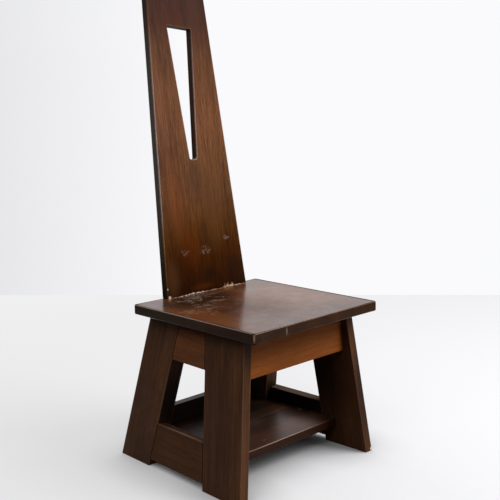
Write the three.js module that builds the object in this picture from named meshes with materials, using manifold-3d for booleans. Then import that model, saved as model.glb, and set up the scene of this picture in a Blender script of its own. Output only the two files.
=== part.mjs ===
// A hall chair of the arts and crafts kind, in millimetres, +Z up, the sitter facing -Y.
// Two splayed side frames, mortised and tenoned from wide boards, carry a plain overhanging
// seat of three glued boards. A tall raked plank with a tapering slot rests its shoulders on the
// seat; its tongue drops through a notch in the seat's rear edge and is screwed to the rear apron.
// A shelf lies low between the frames.

import * as THREE from 'three';
import { mergeVertices } from 'three/addons/utils/BufferGeometryUtils.js';
import Module from 'manifold-3d';

const wasm = await Module();
wasm.setup();
const { Manifold, Mesh } = wasm;

// Seat
const seatHeight = 430;
const seatWidth = 452;
const seatDepth = 455;
const seatThick = 25;
const seatFront = 244;
const seatEase = 2.5;
const seatCorner = 6;
const leftBoardWidth = 108;
const rightBoardWidth = 162;

// How far the seat's edges stand out past the side frames
const sideOverhang = 34.5;
const frontOverhang = 65;
const rearOverhang = 21;

// Side frames: each leans out by its splay on the way to the floor and toes in to the rear
const frameSplay = 52.5;
const frameThick = 25;
const frameToe = THREE.MathUtils.degToRad(1.7);
const boardEase = 1.5;

// Legs: their widths, and how far their outer edges lean out on the way to the floor
// The rear legs are thicker than the frames and stand in past them on the inside.
const frontLegWidth = 143;
const frontLegLean = 32;
const rearLegWidth = 124;
const rearLegLean = 90;
const rearLegThick = 45;

// Side rails: heights above the floor of the edges that the window lies between
const windowTop = 299.5;
const windowBottom = 121;
const lowerRailFoot = 18;

// Tenons in the thickness of the frame, and stub tenons of the pieces that cross the chair
const tenonThick = 9;
const tenonLong = 34;
const tenonHaunch = 12;
const stubLong = 12;

// Aprons and rear lower rail
const apronBottom = 290;
const apronThick = 22;
const frontApronSetback = 14.7;
const rearRailTop = 128;
const rearRailHeight = 73;
const rearRailThick = 25;

// Shelf
const shelfTop = 78.5;
const shelfThick = 24;
const shelfSetback = 67.5;
const shelfFrontBoardWidth = 158;
const shelfFit = 0.4;

// Back plank: sizes along its own slope, measured from the seat's top
// Its tongue fills the room between the rear legs but for a gap at the nearer one, and its width
// at the seat is the tongue's with a shoulder at each side. It stands a little off the chair's
// middle, and the slot's head was sawn out of square.
const plankRake = THREE.MathUtils.degToRad(7.3);
const plankThick = 22;
const plankLength = 850;
const plankSlimming = 94.5;
const plankShoulder = 29.25;
const tongueLegGap = 9.5;
const plankOffset = 19;
const plankEase = 1.8;
const slotHeadMargin = 117;
const slotLength = 362;
const slotHeadSlant = 8;
const slotFootWidth = 24.5;
const slotHeadWidth = 83.5;
const slotRound = 5;

// Blocks, cleats and screws out of sight
const blockSize = 34;
const blockHeight = 88;
const cleatSize = 21;
const cleatGap = 12;
const shelfCleatInset = 42;
const screwHead = 4.2;
const screwShank = 2.1;
const screwPoint = 4;
const screwLong = 34;
const screwFlatHead = 3;
const plankScrewInset = 34;
const plankScrewDrop = 30;
const plankScrewEdge = 35;
const cleatScrewInset = 30;

// Clearances and steps of the curves
const fit = 0.25;
const overrun = 60;
const weld = 0.0001;
const arcSteps = 3;
const screwSides = 14;

// Sizes that follow
const seatUnder = seatHeight - seatThick;
const seatRear = seatDepth - seatFront;
const frameTopSpread = seatWidth / 2 - sideOverhang;
const frameFootSpread = frameTopSpread + frameSplay;
const splay = Math.atan(frameSplay / seatUnder);
const slopeTop = seatUnder / Math.cos(splay);
const frontLegTop = seatFront - frontOverhang;
const rearLegTop = seatRear - rearOverhang;
const rearLegFoot = rearLegTop + rearLegLean;
const frontApronFace = frontLegTop - frontApronSetback;
const rearRailFace = rearLegTop;
const shelfFront = frontLegTop - shelfSetback;
const plankFace = seatRear - plankThick / Math.cos(plankRake);
const plankTopRear = plankFace + plankLength * Math.sin(plankRake) + plankThick * Math.cos(plankRake);
const middle = (plankTopRear - seatFront) / 2;
const apronHeight = seatUnder - apronBottom;
const plankTongueWidth = 2 * (frameTopSpread - rearLegThick - plankOffset - tongueLegGap);
const plankSeatWidth = plankTongueWidth + 2 * plankShoulder;
const plankTopWidth = plankSeatWidth - plankSlimming;
const plankTaper = plankSlimming / plankLength;
const slotHead = plankLength - slotHeadMargin;
const slotFoot = slotHead - slotLength;
const spanWidth = frameFootSpread + overrun;
const sides = [{ name: 'left', sign: -1 }, { name: 'right', sign: 1 }];

// Turns that lay a planed board along one of the chair's directions
const X = new THREE.Vector3(1, 0, 0);
const Y = new THREE.Vector3(0, 1, 0);
const Z = new THREE.Vector3(0, 0, 1);
const upright = new THREE.Matrix4().makeBasis(Y, X.clone().negate(), Z);
const lengthwise = new THREE.Matrix4().makeBasis(Z, X, Y);
const crosswise = new THREE.Matrix4().makeBasis(Z, Y.clone().negate(), X);
const flatAcross = new THREE.Matrix4().makeBasis(Y, Z, X);

// Joins a geometry's shared corners and gives the closed solid that can be cut and joined
function solidOf(geometry) {
  const bare = geometry.clone();
  bare.deleteAttribute('normal');
  bare.deleteAttribute('uv');
  const merged = mergeVertices(bare, weld);
  const index = merged.index.array;
  const kept = [];
  for (let i = 0; i < index.length; i += 3) {
    const [a, b, c] = [index[i], index[i + 1], index[i + 2]];
    if (a !== b && b !== c && c !== a) {
      kept.push(a, b, c);
    }
  }
  const vertProperties = new Float32Array(merged.attributes.position.array);
  return new Manifold(new Mesh({ numProp: 3, vertProperties, triVerts: new Uint32Array(kept) }));
}

function geometryOf(solid) {
  const mesh = solid.getMesh();
  const geometry = new THREE.BufferGeometry();
  geometry.setAttribute('position', new THREE.BufferAttribute(mesh.vertProperties, mesh.numProp));
  geometry.setIndex(new THREE.BufferAttribute(mesh.triVerts, 1));
  const faceted = geometry.toNonIndexed();
  faceted.computeVertexNormals();
  return faceted;
}

// The section of a planed board with its four arrises eased
function easedRectangle(width, height, ease) {
  const right = width / 2;
  const top = height / 2;
  const shape = new THREE.Shape();
  shape.moveTo(-right + ease, -top);
  shape.lineTo(right - ease, -top);
  shape.absarc(right - ease, -top + ease, ease, -Math.PI / 2, 0);
  shape.lineTo(right, top - ease);
  shape.absarc(right - ease, top - ease, ease, 0, Math.PI / 2);
  shape.lineTo(-right + ease, top);
  shape.absarc(-right + ease, top - ease, ease, Math.PI / 2, Math.PI);
  shape.lineTo(-right, -top + ease);
  shape.absarc(-right + ease, -top + ease, ease, Math.PI, 3 * Math.PI / 2);
  return shape;
}

function extruded(shape, depth) {
  const geometry = new THREE.ExtrudeGeometry(shape, { depth, bevelEnabled: false, curveSegments: arcSteps });
  return geometry.translate(0, 0, -depth / 2);
}

// A board's width lies on x, its thickness on y and its length on z, until a turn lays it down
function board(width, thick, length, ease = boardEase) {
  return extruded(easedRectangle(width, thick, ease), length);
}

function box(low, high) {
  const size = new THREE.Vector3().subVectors(high, low);
  const centre = new THREE.Vector3().addVectors(low, high).multiplyScalar(0.5);
  return new THREE.BoxGeometry(size.x, size.y, size.z).translate(centre.x, centre.y, centre.z);
}

function vector(x, y, z) {
  return new THREE.Vector3(x, y, z);
}

// The space between two heights, wider than the whole chair
const reach = seatWidth + frameFootSpread;
function layer(low, high) {
  return solidOf(box(vector(-reach, -reach, low), vector(reach, reach, high)));
}

// Side frames
// In a frame's own space x points to the right of the chair from the outer face, y runs to the
// rear and z climbs the slope. This turn leans the frame inwards and toes it in to the rear.
function framePlace(side) {
  const place = new THREE.Matrix4().makeTranslation(side.sign * frameFootSpread, 0, 0);
  place.multiply(new THREE.Matrix4().makeRotationZ(side.sign * frameToe));
  return place.multiply(new THREE.Matrix4().makeRotationY(-side.sign * splay));
}

function slope(height) {
  return height / Math.cos(splay);
}

// A leg's outer and inner edges, as distances along the frame at a height on its slope
const legs = {
  front: {
    sign: -1, top: frontLegTop, foot: frontLegTop + frontLegLean, width: frontLegWidth, thick: frameThick,
  },
  rear: { sign: 1, top: rearLegTop, foot: rearLegFoot, width: rearLegWidth, thick: rearLegThick },
};

function outerEdge(leg, climb) {
  return leg.sign * (leg.foot + (leg.top - leg.foot) * climb / slopeTop);
}

function innerEdge(leg, climb) {
  return outerEdge(leg, climb) - leg.sign * leg.width;
}

// A flat prism in the frame's plane, bounded by the legs' inner edges pushed out by some length
function betweenLegs(low, high, push, thick, side) {
  const corners = [
    [innerEdge(legs.front, low) - push, low],
    [innerEdge(legs.rear, low) + push, low],
    [innerEdge(legs.rear, high) + push, high],
    [innerEdge(legs.front, high) - push, high],
  ];
  const shape = new THREE.Shape(corners.map(([along, climb]) => new THREE.Vector2(along, climb)));
  const prism = extruded(shape, thick).applyMatrix4(flatAcross);
  prism.translate(-side.sign * frameThick / 2, 0, 0);
  return solidOf(prism.applyMatrix4(framePlace(side)));
}

const rails = {
  upper: { low: slope(windowTop), high: slopeTop },
  lower: { low: slope(lowerRailFoot), high: slope(windowBottom) },
};

function railTenon(rail, side, loose = 0) {
  const low = rail.low + tenonHaunch - loose;
  const high = rail.high - tenonHaunch + loose;
  return betweenLegs(low, high, tenonLong + loose, tenonThick + 2 * loose, side);
}

function sideRail(rail, side) {
  const height = rail.high - rail.low;
  const plank = board(height, frameThick, 2 * rearLegFoot).applyMatrix4(lengthwise);
  plank.translate(-side.sign * frameThick / 2, 0, rail.low + height / 2);
  const long = solidOf(plank.applyMatrix4(framePlace(side)));
  const span = betweenLegs(rail.low - overrun, rail.high + overrun, -fit, frameThick + overrun, side);
  return long.intersect(span).add(railTenon(rail, side)).intersect(layer(0, seatUnder - fit));
}

// A leg is a long board leaned in the frame's plane, then cut level at the floor and the seat
function longLeg(leg, side, loose = 0) {
  const lean = Math.atan((leg.foot - leg.top) / slopeTop);
  const width = leg.width * Math.cos(lean) + 2 * loose;
  const plank = board(width, leg.thick + 2 * loose, slopeTop + 2 * overrun).applyMatrix4(upright);
  plank.applyMatrix4(new THREE.Matrix4().makeRotationX(leg.sign * lean));
  const centre = (outerEdge(leg, slopeTop / 2) + innerEdge(leg, slopeTop / 2)) / 2;
  plank.translate(-side.sign * leg.thick / 2, centre, slopeTop / 2);
  return solidOf(plank.applyMatrix4(framePlace(side)));
}

function legBoard(leg, side) {
  return longLeg(leg, side).intersect(layer(0, seatUnder - fit));
}

// All that lies outside a plane inside the frame, some depth in from its outer face
function outside(side, depth) {
  const low = vector(-reach, -reach, -reach);
  const high = vector(reach, reach, reach);
  if (side.sign > 0) {
    low.x = -depth;
  } else {
    high.x = depth;
  }
  return solidOf(box(low, high).applyMatrix4(framePlace(side)));
}

function cutToFrames(solid, depth) {
  let cut = solid;
  for (const side of sides) {
    cut = cut.subtract(outside(side, depth));
  }
  return cut;
}

// Pieces that cross the chair
// Each is a board cut to the splayed inner faces, with a stub tenon at either end.
function crossBoard(piece, thick, height) {
  const plank = board(height, thick, 2 * spanWidth, piece.ease ?? boardEase).applyMatrix4(crosswise);
  plank.rotateX(-piece.rake);
  plank.translate(0, piece.y, piece.z);
  return solidOf(plank);
}

function stub(piece, loose = 0) {
  const tongue = crossBoard({ ...piece, ease: fit }, tenonThick + 2 * loose, piece.height - 2 * tenonHaunch + 2 * loose);
  return cutToFrames(tongue, piece.leg.thick - stubLong - loose);
}

function crossPiece(piece) {
  const body = cutToFrames(crossBoard(piece, piece.thick, piece.height), piece.leg.thick + fit);
  return body.add(stub(piece)).intersect(layer(0, seatUnder - fit));
}

function plankFaceAt(height) {
  return plankFace + (height - seatHeight) * Math.tan(plankRake);
}

const apronMiddle = apronBottom + apronHeight / 2;
const rearApronFace = plankFaceAt(apronMiddle) - (apronThick + 2 * fit) / Math.cos(plankRake);
const crossPieces = {
  front_apron: {
    leg: legs.front, thick: apronThick, height: apronHeight, rake: 0,
    y: -frontApronFace + apronThick / 2, z: apronMiddle,
  },
  rear_apron: {
    leg: legs.rear, thick: apronThick, height: apronHeight, rake: plankRake,
    y: rearApronFace + (apronThick / 2) / Math.cos(plankRake), z: apronMiddle,
  },
  rear_lower_rail: {
    leg: legs.rear, thick: rearRailThick, height: rearRailHeight, rake: 0,
    y: rearRailFace + rearRailThick / 2, z: rearRailTop - rearRailHeight / 2,
  },
};

// Screws: countersunk, point first along +Z from the middle of the head's flat
function screwProfile(loose) {
  const head = screwHead + loose;
  const shank = screwShank + loose;
  const long = screwLong + loose;
  return [
    new THREE.Vector2(0, -loose),
    new THREE.Vector2(head, -loose),
    new THREE.Vector2(shank, screwFlatHead),
    new THREE.Vector2(shank, long - screwPoint),
    new THREE.Vector2(0, long),
  ];
}

function screw(place, loose = 0) {
  const points = screwProfile(loose);
  const geometry = new THREE.LatheGeometry(points, screwSides).rotateX(Math.PI / 2);
  return solidOf(geometry.applyMatrix4(place));
}

// Back plank, in a space whose y climbs the plank and whose z points out of its front face
const plankPlace = new THREE.Matrix4().makeBasis(
  X,
  vector(0, Math.sin(plankRake), Math.cos(plankRake)),
  vector(0, -Math.cos(plankRake), Math.sin(plankRake)),
).setPosition(plankOffset, plankFace, seatHeight);
const plankDrop = (seatHeight - apronBottom) / Math.cos(plankRake);

function plankHalfWidth(climb) {
  return (plankSeatWidth - plankTaper * climb) / 2;
}

// The slot is a narrow keystone with its lower corners rounded
function slotPath() {
  const head = slotHeadWidth / 2;
  const foot = slotFootWidth / 2;
  const side = new THREE.Vector2(head - foot, slotHead - slotFoot).normalize();
  const path = new THREE.Path();
  path.moveTo(-head, slotHead + slotHeadSlant / 2);
  path.lineTo(-foot - side.x * slotRound, slotFoot + side.y * slotRound);
  path.quadraticCurveTo(-foot, slotFoot, -foot + slotRound, slotFoot);
  path.lineTo(foot - slotRound, slotFoot);
  path.quadraticCurveTo(foot, slotFoot, foot + side.x * slotRound, slotFoot + side.y * slotRound);
  path.lineTo(head, slotHead - slotHeadSlant / 2);
  path.lineTo(-head, slotHead + slotHeadSlant / 2);
  return path;
}

function plankOutline() {
  const foot = plankHalfWidth(-plankDrop);
  const head = plankHalfWidth(plankLength);
  return new THREE.Shape([
    new THREE.Vector2(-foot, -plankDrop),
    new THREE.Vector2(foot, -plankDrop),
    new THREE.Vector2(head, plankLength),
    new THREE.Vector2(-head, plankLength),
  ]);
}

// All that lies beside the tongue, up to the level shoulders that rest on the seat
function besideTongue(sign) {
  const near = plankOffset + sign * plankTongueWidth / 2;
  const far = sign * reach;
  const low = vector(Math.min(near, far), -reach, -reach);
  const high = vector(Math.max(near, far), reach, seatHeight + fit);
  return solidOf(box(low, high));
}

function plankSolid() {
  const shape = plankOutline();
  shape.holes.push(slotPath());
  const geometry = new THREE.ExtrudeGeometry(shape, {
    depth: plankThick - 2 * plankEase,
    bevelThickness: plankEase,
    bevelSize: plankEase,
    bevelOffset: -plankEase,
    bevelSegments: 2,
    curveSegments: arcSteps,
  });
  geometry.translate(0, 0, plankEase - plankThick);
  const plank = solidOf(geometry.applyMatrix4(plankPlace));
  return plank.subtract(besideTongue(-1)).subtract(besideTongue(1));
}

// The room that the tongue takes in the seat, open to the rear edge
function plankNotch() {
  const half = plankTongueWidth / 2 + fit;
  const room = box(vector(-half, -plankDrop, -plankThick - overrun), vector(half, overrun, fit));
  return solidOf(room.applyMatrix4(plankPlace));
}

function plankScrewPlaces() {
  const places = [];
  for (const drop of [plankScrewDrop, apronHeight - plankScrewInset]) {
    for (const sign of [-1, 1]) {
      const climb = -(seatThick + drop) / Math.cos(plankRake);
      const aside = sign * (plankTongueWidth / 2 - plankScrewEdge);
      const turn = new THREE.Matrix4().makeTranslation(aside, climb, -plankThick);
      places.push(plankPlace.clone().multiply(turn));
    }
  }
  return places;
}

// Seat: three boards glued edge to edge, their grain running front to rear
function seatSlab() {
  const alongX = extruded(easedRectangle(seatThick, seatDepth, seatEase), seatWidth);
  alongX.applyMatrix4(new THREE.Matrix4().makeBasis(Z, Y.clone().negate(), X));
  const alongY = extruded(easedRectangle(seatThick, seatWidth, seatEase), seatDepth);
  alongY.applyMatrix4(new THREE.Matrix4().makeBasis(Z, X, Y));
  const plan = extruded(easedRectangle(seatWidth, seatDepth, seatCorner), seatThick);
  const slab = solidOf(alongX).intersect(solidOf(alongY)).intersect(solidOf(plan));
  return slab.translate([0, seatRear - seatDepth / 2, seatUnder + seatThick / 2]);
}

const seatEdges = [
  -seatWidth / 2,
  -seatWidth / 2 + leftBoardWidth,
  seatWidth / 2 - rightBoardWidth,
  seatWidth / 2,
];

function seatBoards() {
  const names = ['seat_board_left', 'seat_board_middle', 'seat_board_right'];
  const slab = seatSlab().subtract(plankNotch());
  return names.map((name, i) => {
    const low = seatEdges[i] + (i > 0 ? fit / 2 : -overrun);
    const high = seatEdges[i + 1] - (i < names.length - 1 ? fit / 2 : -overrun);
    const strip = solidOf(box(vector(low, -reach, seatUnder - overrun), vector(high, reach, seatHeight + overrun)));
    return [name, slab.intersect(strip)];
  });
}

// Shelf: two boards across the chair, cut to the splay at their ends and round the rear legs
const shelfEdges = [-shelfFront, -shelfFront + shelfFrontBoardWidth, rearRailFace - fit];

function shelfBoards() {
  const names = ['shelf_board_front', 'shelf_board_rear'];
  return names.map((name, i) => {
    const low = shelfEdges[i] + (i > 0 ? fit / 2 : 0);
    const high = shelfEdges[i + 1] - (i < names.length - 1 ? fit / 2 : 0);
    const plank = board(high - low, shelfThick, 2 * spanWidth).applyMatrix4(flatAcross);
    plank.translate(0, (low + high) / 2, shelfTop - shelfThick / 2);
    let cut = cutToFrames(solidOf(plank), frameThick + shelfFit);
    for (const side of sides) {
      cut = cut.subtract(longLeg(legs.rear, side, shelfFit));
    }
    return [name, cut];
  });
}

// Cleats along the frames' inner faces, under the seat and under the shelf, short of the rear legs
const cleats = {
  seat: {
    top: seatUnder - fit,
    from: -frontApronFace + apronThick + blockSize + cleatGap,
    to: innerEdge(legs.rear, slopeTop) - cleatGap,
  },
  shelf: {
    top: shelfTop - shelfThick - fit,
    from: -shelfFront + shelfCleatInset,
    to: innerEdge(legs.rear, slope(shelfTop)) - cleatGap,
  },
};

function innerFace(height, along, thick = frameThick) {
  return frameFootSpread - (thick / Math.cos(splay)) - height * Math.tan(splay) - along * Math.tan(frameToe);
}

function cleatSolid(cleat, side) {
  const far = innerFace(cleat.top, cleat.to) - cleatSize;
  const inner = side.sign * far;
  const outer = side.sign * spanWidth;
  const strip = box(
    vector(Math.min(inner, outer), cleat.from, cleat.top - cleatSize),
    vector(Math.max(inner, outer), cleat.to, cleat.top),
  );
  return cutToFrames(solidOf(strip), frameThick + fit);
}

function cleatScrewPlaces(cleat, side) {
  const far = innerFace(cleat.top, cleat.to) - cleatSize / 2;
  const ends = [cleat.from + cleatScrewInset, cleat.to - cleatScrewInset];
  return ends.map((along) => new THREE.Matrix4().makeTranslation(side.sign * far, along, cleat.top - cleatSize));
}

// Triangular blocks glued in the corners between the aprons and the frames
function cornerBlock(end, side) {
  const piece = crossPieces[`${end}_apron`];
  const inward = end === 'front' ? 1 : -1;
  const face = piece.y + inward * piece.thick / 2;
  const wall = innerFace(seatUnder - blockHeight, face, piece.leg.thick);
  const shape = new THREE.Shape([
    new THREE.Vector2(side.sign * (wall + overrun), face - inward * overrun),
    new THREE.Vector2(side.sign * (wall + overrun), face + inward * (blockSize + overrun)),
    new THREE.Vector2(side.sign * (wall - blockSize - overrun), face - inward * overrun),
  ]);
  const prism = extruded(shape, blockHeight);
  prism.translate(0, 0, seatUnder - fit - blockHeight / 2);
  const apronRoom = crossBoard({ ...piece, y: piece.y - inward * overrun }, piece.thick + 2 * fit + 2 * overrun, reach);
  return cutToFrames(solidOf(prism).subtract(apronRoom), piece.leg.thick + fit);
}

// Finishes
const finishes = {
  seat: { color: 0x3c281c, roughness: 0.35 },
  plank: { color: 0x54301c, roughness: 0.4 },
  frame: { color: 0x3a2417, roughness: 0.45 },
  apron: { color: 0x6a3d1e, roughness: 0.45 },
  hidden: { color: 0x7a5a3c, roughness: 0.7 },
  steel: { color: 0x77736c, roughness: 0.4, metalness: 0.9 },
};

const chair = new THREE.Group();
chair.position.y = -middle;

function addPiece(name, solid, finish) {
  const material = new THREE.MeshStandardMaterial(finishes[finish]);
  const mesh = new THREE.Mesh(geometryOf(solid), material);
  mesh.name = name;
  chair.add(mesh);
}

// Assembly: pieces that receive a tenon or a screw are cut before they are added
const plankScrews = plankScrewPlaces();
const bored = (solid, places) => places.reduce((cut, place) => cut.subtract(screw(place, fit)), solid);

const seatScrews = sides.flatMap((side) => cleatScrewPlaces(cleats.seat, side));
const shelfScrews = sides.flatMap((side) => cleatScrewPlaces(cleats.shelf, side));

for (const [name, solid] of seatBoards()) {
  addPiece(name, bored(solid, seatScrews), 'seat');
}

addPiece('back_plank', bored(plankSolid(), plankScrews), 'plank');

for (const side of sides) {
  for (const [legName, leg] of Object.entries(legs)) {
    let solid = legBoard(leg, side);
    for (const rail of Object.values(rails)) {
      solid = solid.subtract(railTenon(rail, side, fit));
    }
    for (const piece of Object.values(crossPieces)) {
      solid = solid.subtract(stub(piece, fit));
    }
    addPiece(`${side.name}_${legName}_leg`, solid, 'frame');
  }
  for (const [railName, rail] of Object.entries(rails)) {
    addPiece(`${side.name}_${railName}_rail`, sideRail(rail, side), 'frame');
  }
}

addPiece('front_apron', crossPiece(crossPieces.front_apron), 'apron');
addPiece('rear_apron', bored(crossPiece(crossPieces.rear_apron), plankScrews), 'frame');
addPiece('rear_lower_rail', crossPiece(crossPieces.rear_lower_rail), 'frame');

for (const [name, solid] of shelfBoards()) {
  addPiece(name, bored(solid, shelfScrews), 'seat');
}

for (const side of sides) {
  for (const [cleatName, cleat] of Object.entries(cleats)) {
    const solid = bored(cleatSolid(cleat, side), cleatScrewPlaces(cleat, side));
    addPiece(`${side.name}_${cleatName}_cleat`, solid, 'hidden');
  }
  for (const end of Object.keys(legs)) {
    addPiece(`${side.name}_${end}_corner_block`, cornerBlock(end, side), 'hidden');
  }
}

const screwSets = { plank_screw: plankScrews, seat_screw: seatScrews, shelf_screw: shelfScrews };
for (const [setName, places] of Object.entries(screwSets)) {
  places.forEach((place, i) => addPiece(`${setName}_${i + 1}`, screw(place), 'steel'));
}

export default chair;
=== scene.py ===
"""A tall hall chair of dark stained mahogany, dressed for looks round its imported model.

Two splayed side frames carry a plain seat, a raked plank with a tapering slot rises behind it,
and a shelf lies low between the frames. All lengths are in metres unless a name ends in _mm.
"""

import logging
import math
import random
from dataclasses import dataclass
from enum import Enum

import bmesh
import bpy
import numpy as np
from mathutils import Matrix, Vector


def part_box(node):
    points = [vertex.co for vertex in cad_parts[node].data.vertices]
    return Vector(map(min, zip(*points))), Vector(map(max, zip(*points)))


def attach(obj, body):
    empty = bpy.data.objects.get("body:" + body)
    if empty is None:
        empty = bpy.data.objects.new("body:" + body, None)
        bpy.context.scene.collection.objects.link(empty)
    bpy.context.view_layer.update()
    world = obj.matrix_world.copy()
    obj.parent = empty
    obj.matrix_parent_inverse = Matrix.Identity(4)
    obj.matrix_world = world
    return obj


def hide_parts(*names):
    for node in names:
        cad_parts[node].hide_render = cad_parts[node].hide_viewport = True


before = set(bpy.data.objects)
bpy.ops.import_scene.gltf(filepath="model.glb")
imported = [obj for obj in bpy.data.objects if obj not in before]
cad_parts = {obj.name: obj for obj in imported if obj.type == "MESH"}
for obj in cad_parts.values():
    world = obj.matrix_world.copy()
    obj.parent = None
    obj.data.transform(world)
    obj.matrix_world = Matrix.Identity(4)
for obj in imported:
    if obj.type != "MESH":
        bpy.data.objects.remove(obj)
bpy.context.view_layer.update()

LOG = logging.getLogger("hall_chair")
BODY = "root"

MM = 0.001

# Points nearer than WELD become one, faces that turn less than FLAT_ANGLE are one flat, and an
# edge that turns more than SHARP_ANGLE is an arris.
WELD = 2e-6
FLAT_ANGLE = math.radians(0.4)
SHARP_ANGLE = math.radians(42)

# The model leaves a quarter of a millimetre between glued boards. The dressed ones meet in its
# middle, and a point within the reach of that seam lies on it.
SEAM_HALF_MM = 0.125
SEAM_REACH_MM = 0.4

# The photographed wall's own directions, in the chair's frame.
WALL_RIGHT = (0.7194, -0.6946, 0.0)
WALL_AHEAD = (0.6946, 0.7194, 0.0)

Place = tuple[float, float, float]
Span = tuple[float, float]
Colour = tuple[float, float, float, float]
Socket = bpy.types.NodeSocket
Tree = bpy.types.NodeTree


def linear(colour: str) -> Colour:
    """Turns an sRGB hex colour into the linear one that shaders read.

    Args:
        colour: A colour such as "#4d3024".

    Returns:
        Linear red, green, blue and an alpha of one.
    """
    values = []
    for start in (1, 3, 5):
        channel = int(colour[start:start + 2], 16) / 255
        if channel <= 0.04045:
            values.append(channel / 12.92)
        else:
            values.append(((channel + 0.055) / 1.055) ** 2.4)
    return (values[0], values[1], values[2], 1.0)


def add_node(tree: Tree, kind: str, inputs: dict | None = None, **settings) -> bpy.types.Node:
    """Adds a node to a tree with its settings and its links.

    Args:
        tree: The node tree that gets the node.
        kind: The node's type.
        inputs: Input sockets by name or number, each with a socket to link or a value to set.
        **settings: The node's own settings.

    Returns:
        The new node.
    """
    node = tree.nodes.new(kind)
    for name, value in settings.items():
        setattr(node, name, value)
    for key, value in (inputs or {}).items():
        if isinstance(value, Socket):
            tree.links.new(value, node.inputs[key])
        else:
            node.inputs[key].default_value = value
    return node


def new_material(name: str) -> tuple[bpy.types.Material, Tree]:
    """Makes an empty node material.

    Args:
        name: The material's name.

    Returns:
        The material and its node tree.
    """
    material = bpy.data.materials.new(name)
    material.use_nodes = True
    material.node_tree.nodes.clear()
    return material, material.node_tree


def link_object(name: str, data: bpy.types.ID) -> bpy.types.Object:
    """Puts a mesh, a lamp or a camera into the scene as an object at the origin.

    Args:
        name: The object's name.
        data: Its data. A mesh has its place in its points.

    Returns:
        The new object.
    """
    piece = bpy.data.objects.new(name, data)
    bpy.context.scene.collection.objects.link(piece)
    return piece


def settle(piece: bpy.types.Object, slot: str, *nodes: str) -> None:
    """Fastens a finished piece to the chair's body and hides the nodes that it stands for.

    Args:
        piece: The finished piece.
        slot: The record's material slot. Not used.
        *nodes: The nodes of the frame that it replaces.
    """
    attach(piece, BODY)
    if nodes:
        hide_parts(*nodes)
    LOG.info("piece %s, %d faces", piece.name, len(piece.data.polygons))


@dataclass(frozen=True)
class Mark:
    """A rubbed, chipped or stained place on a surface, made of specks.

    Attributes:
        at_mm: Its middle, in the chair's frame.
        reach_mm: How far it spreads along each direction.
        colour: What shows through there.
        amount: How much of it shows, up to one.
        grit_mm: The size of its specks.
        cover: The share of its area that is covered.
        gap_mm: The size of the gaps that break it up, or zero for none.
        soft: How much stronger a speck's middle is than its rim, which keeps the rims from being hard.
    """

    at_mm: Place
    reach_mm: Place
    colour: str
    amount: float = 0.7
    grit_mm: float = 3.0
    cover: float = 0.5
    gap_mm: float = 0.0
    soft: float = 0.14

    def rim(self) -> float:
        """Gives the pattern's strength at which a speck sets in."""
        return 0.5 * (1 - self.cover) + self.soft


class Faces(Enum):
    """Which of a board's faces a tone lies on."""

    ALL = "all"
    NARROW = "narrow"
    BROAD = "broad"


@dataclass(frozen=True)
class Tone:
    """A broad soft change of colour, or a thin line. Tones stand for changes of the stain and
    lines of something in the wood, and in chosen places for painted shade, sheen, reflections
    and highlights.

    Attributes:
        at_mm: Its middle, in the chair's frame.
        reach_mm: How far it spreads along each direction.
        colour: The colour that it leans to.
        amount: How far it leans, up to one.
        faces: The faces that it lies on.
    """

    at_mm: Place
    reach_mm: Place
    colour: str
    amount: float = 0.5
    faces: Faces = Faces.ALL


@dataclass(frozen=True)
class Dull:
    """A place where dust has dulled the polish.

    Attributes:
        at_mm: Its middle, in the chair's frame.
        reach_mm: How far it spreads along each direction.
        amount: The share of the polish that is gone there.
    """

    at_mm: Place
    reach_mm: Place
    amount: float


class Gloss(Enum):
    """How far a board's finish was rubbed up."""

    POLISHED = "polished"
    WAXED = "waxed"
    SATIN = "satin"
    RUBBED_EDGE = "rubbed edge"
    DUSTY = "dusty"
    MATT = "matt"


@dataclass(frozen=True)
class GlossValues:
    """The shader's constants and limits for one gloss.

    Attributes:
        level: The specular level of the wood below the polish.
        coat: The weight of the polish on the broad faces.
        coat_roughness: The roughness of the polish.
        edge_coat_share: The weight on the narrow faces, as a share of that on the broad ones.
        smooth: The least roughness of the wood below.
        rough: Its greatest roughness.
    """

    level: float
    coat: float
    coat_roughness: float
    edge_coat_share: float
    smooth: float
    rough: float


GLOSS_VALUES = {
    Gloss.POLISHED: GlossValues(
        level=0.06, coat=0.72, coat_roughness=0.19, edge_coat_share=0.08,
        smooth=0.4, rough=0.6,
    ),
    Gloss.WAXED: GlossValues(
        level=0.05, coat=0.55, coat_roughness=0.3, edge_coat_share=0.2,
        smooth=0.45, rough=0.65,
    ),
    Gloss.SATIN: GlossValues(
        level=0.05, coat=0.03, coat_roughness=0.3, edge_coat_share=1.0,
        smooth=0.42, rough=0.62,
    ),
    Gloss.RUBBED_EDGE: GlossValues(
        level=0.05, coat=0.02, coat_roughness=0.3, edge_coat_share=12.0,
        smooth=0.42, rough=0.62,
    ),
    Gloss.DUSTY: GlossValues(
        level=0.03, coat=0.0, coat_roughness=0.3, edge_coat_share=1.0,
        smooth=0.6, rough=0.85,
    ),
    Gloss.MATT: GlossValues(
        level=0.012, coat=0.085, coat_roughness=0.4, edge_coat_share=2.0,
        smooth=0.42, rough=0.62,
    ),
}


@dataclass(frozen=True)
class Finish:
    """What every finish has.

    Attributes:
        name: The name of its material.
        slot: The record's material slot.
    """

    name: str
    slot: str

    def skin(self, tree: Tree) -> Socket:
        """Builds the finish's own shader.

        Args:
            tree: The material's tree.

        Returns:
            The shader's output.
        """
        raise NotImplementedError(self.name)

    def material(self) -> bpy.types.Material:
        """Makes the material, or gives the one made before.

        Returns:
            The material.
        """
        if self.name in bpy.data.materials:
            return bpy.data.materials[self.name]
        material, tree = new_material(self.name)
        add_node(tree, "ShaderNodeOutputMaterial", {"Surface": self.skin(tree)})
        return material


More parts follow.
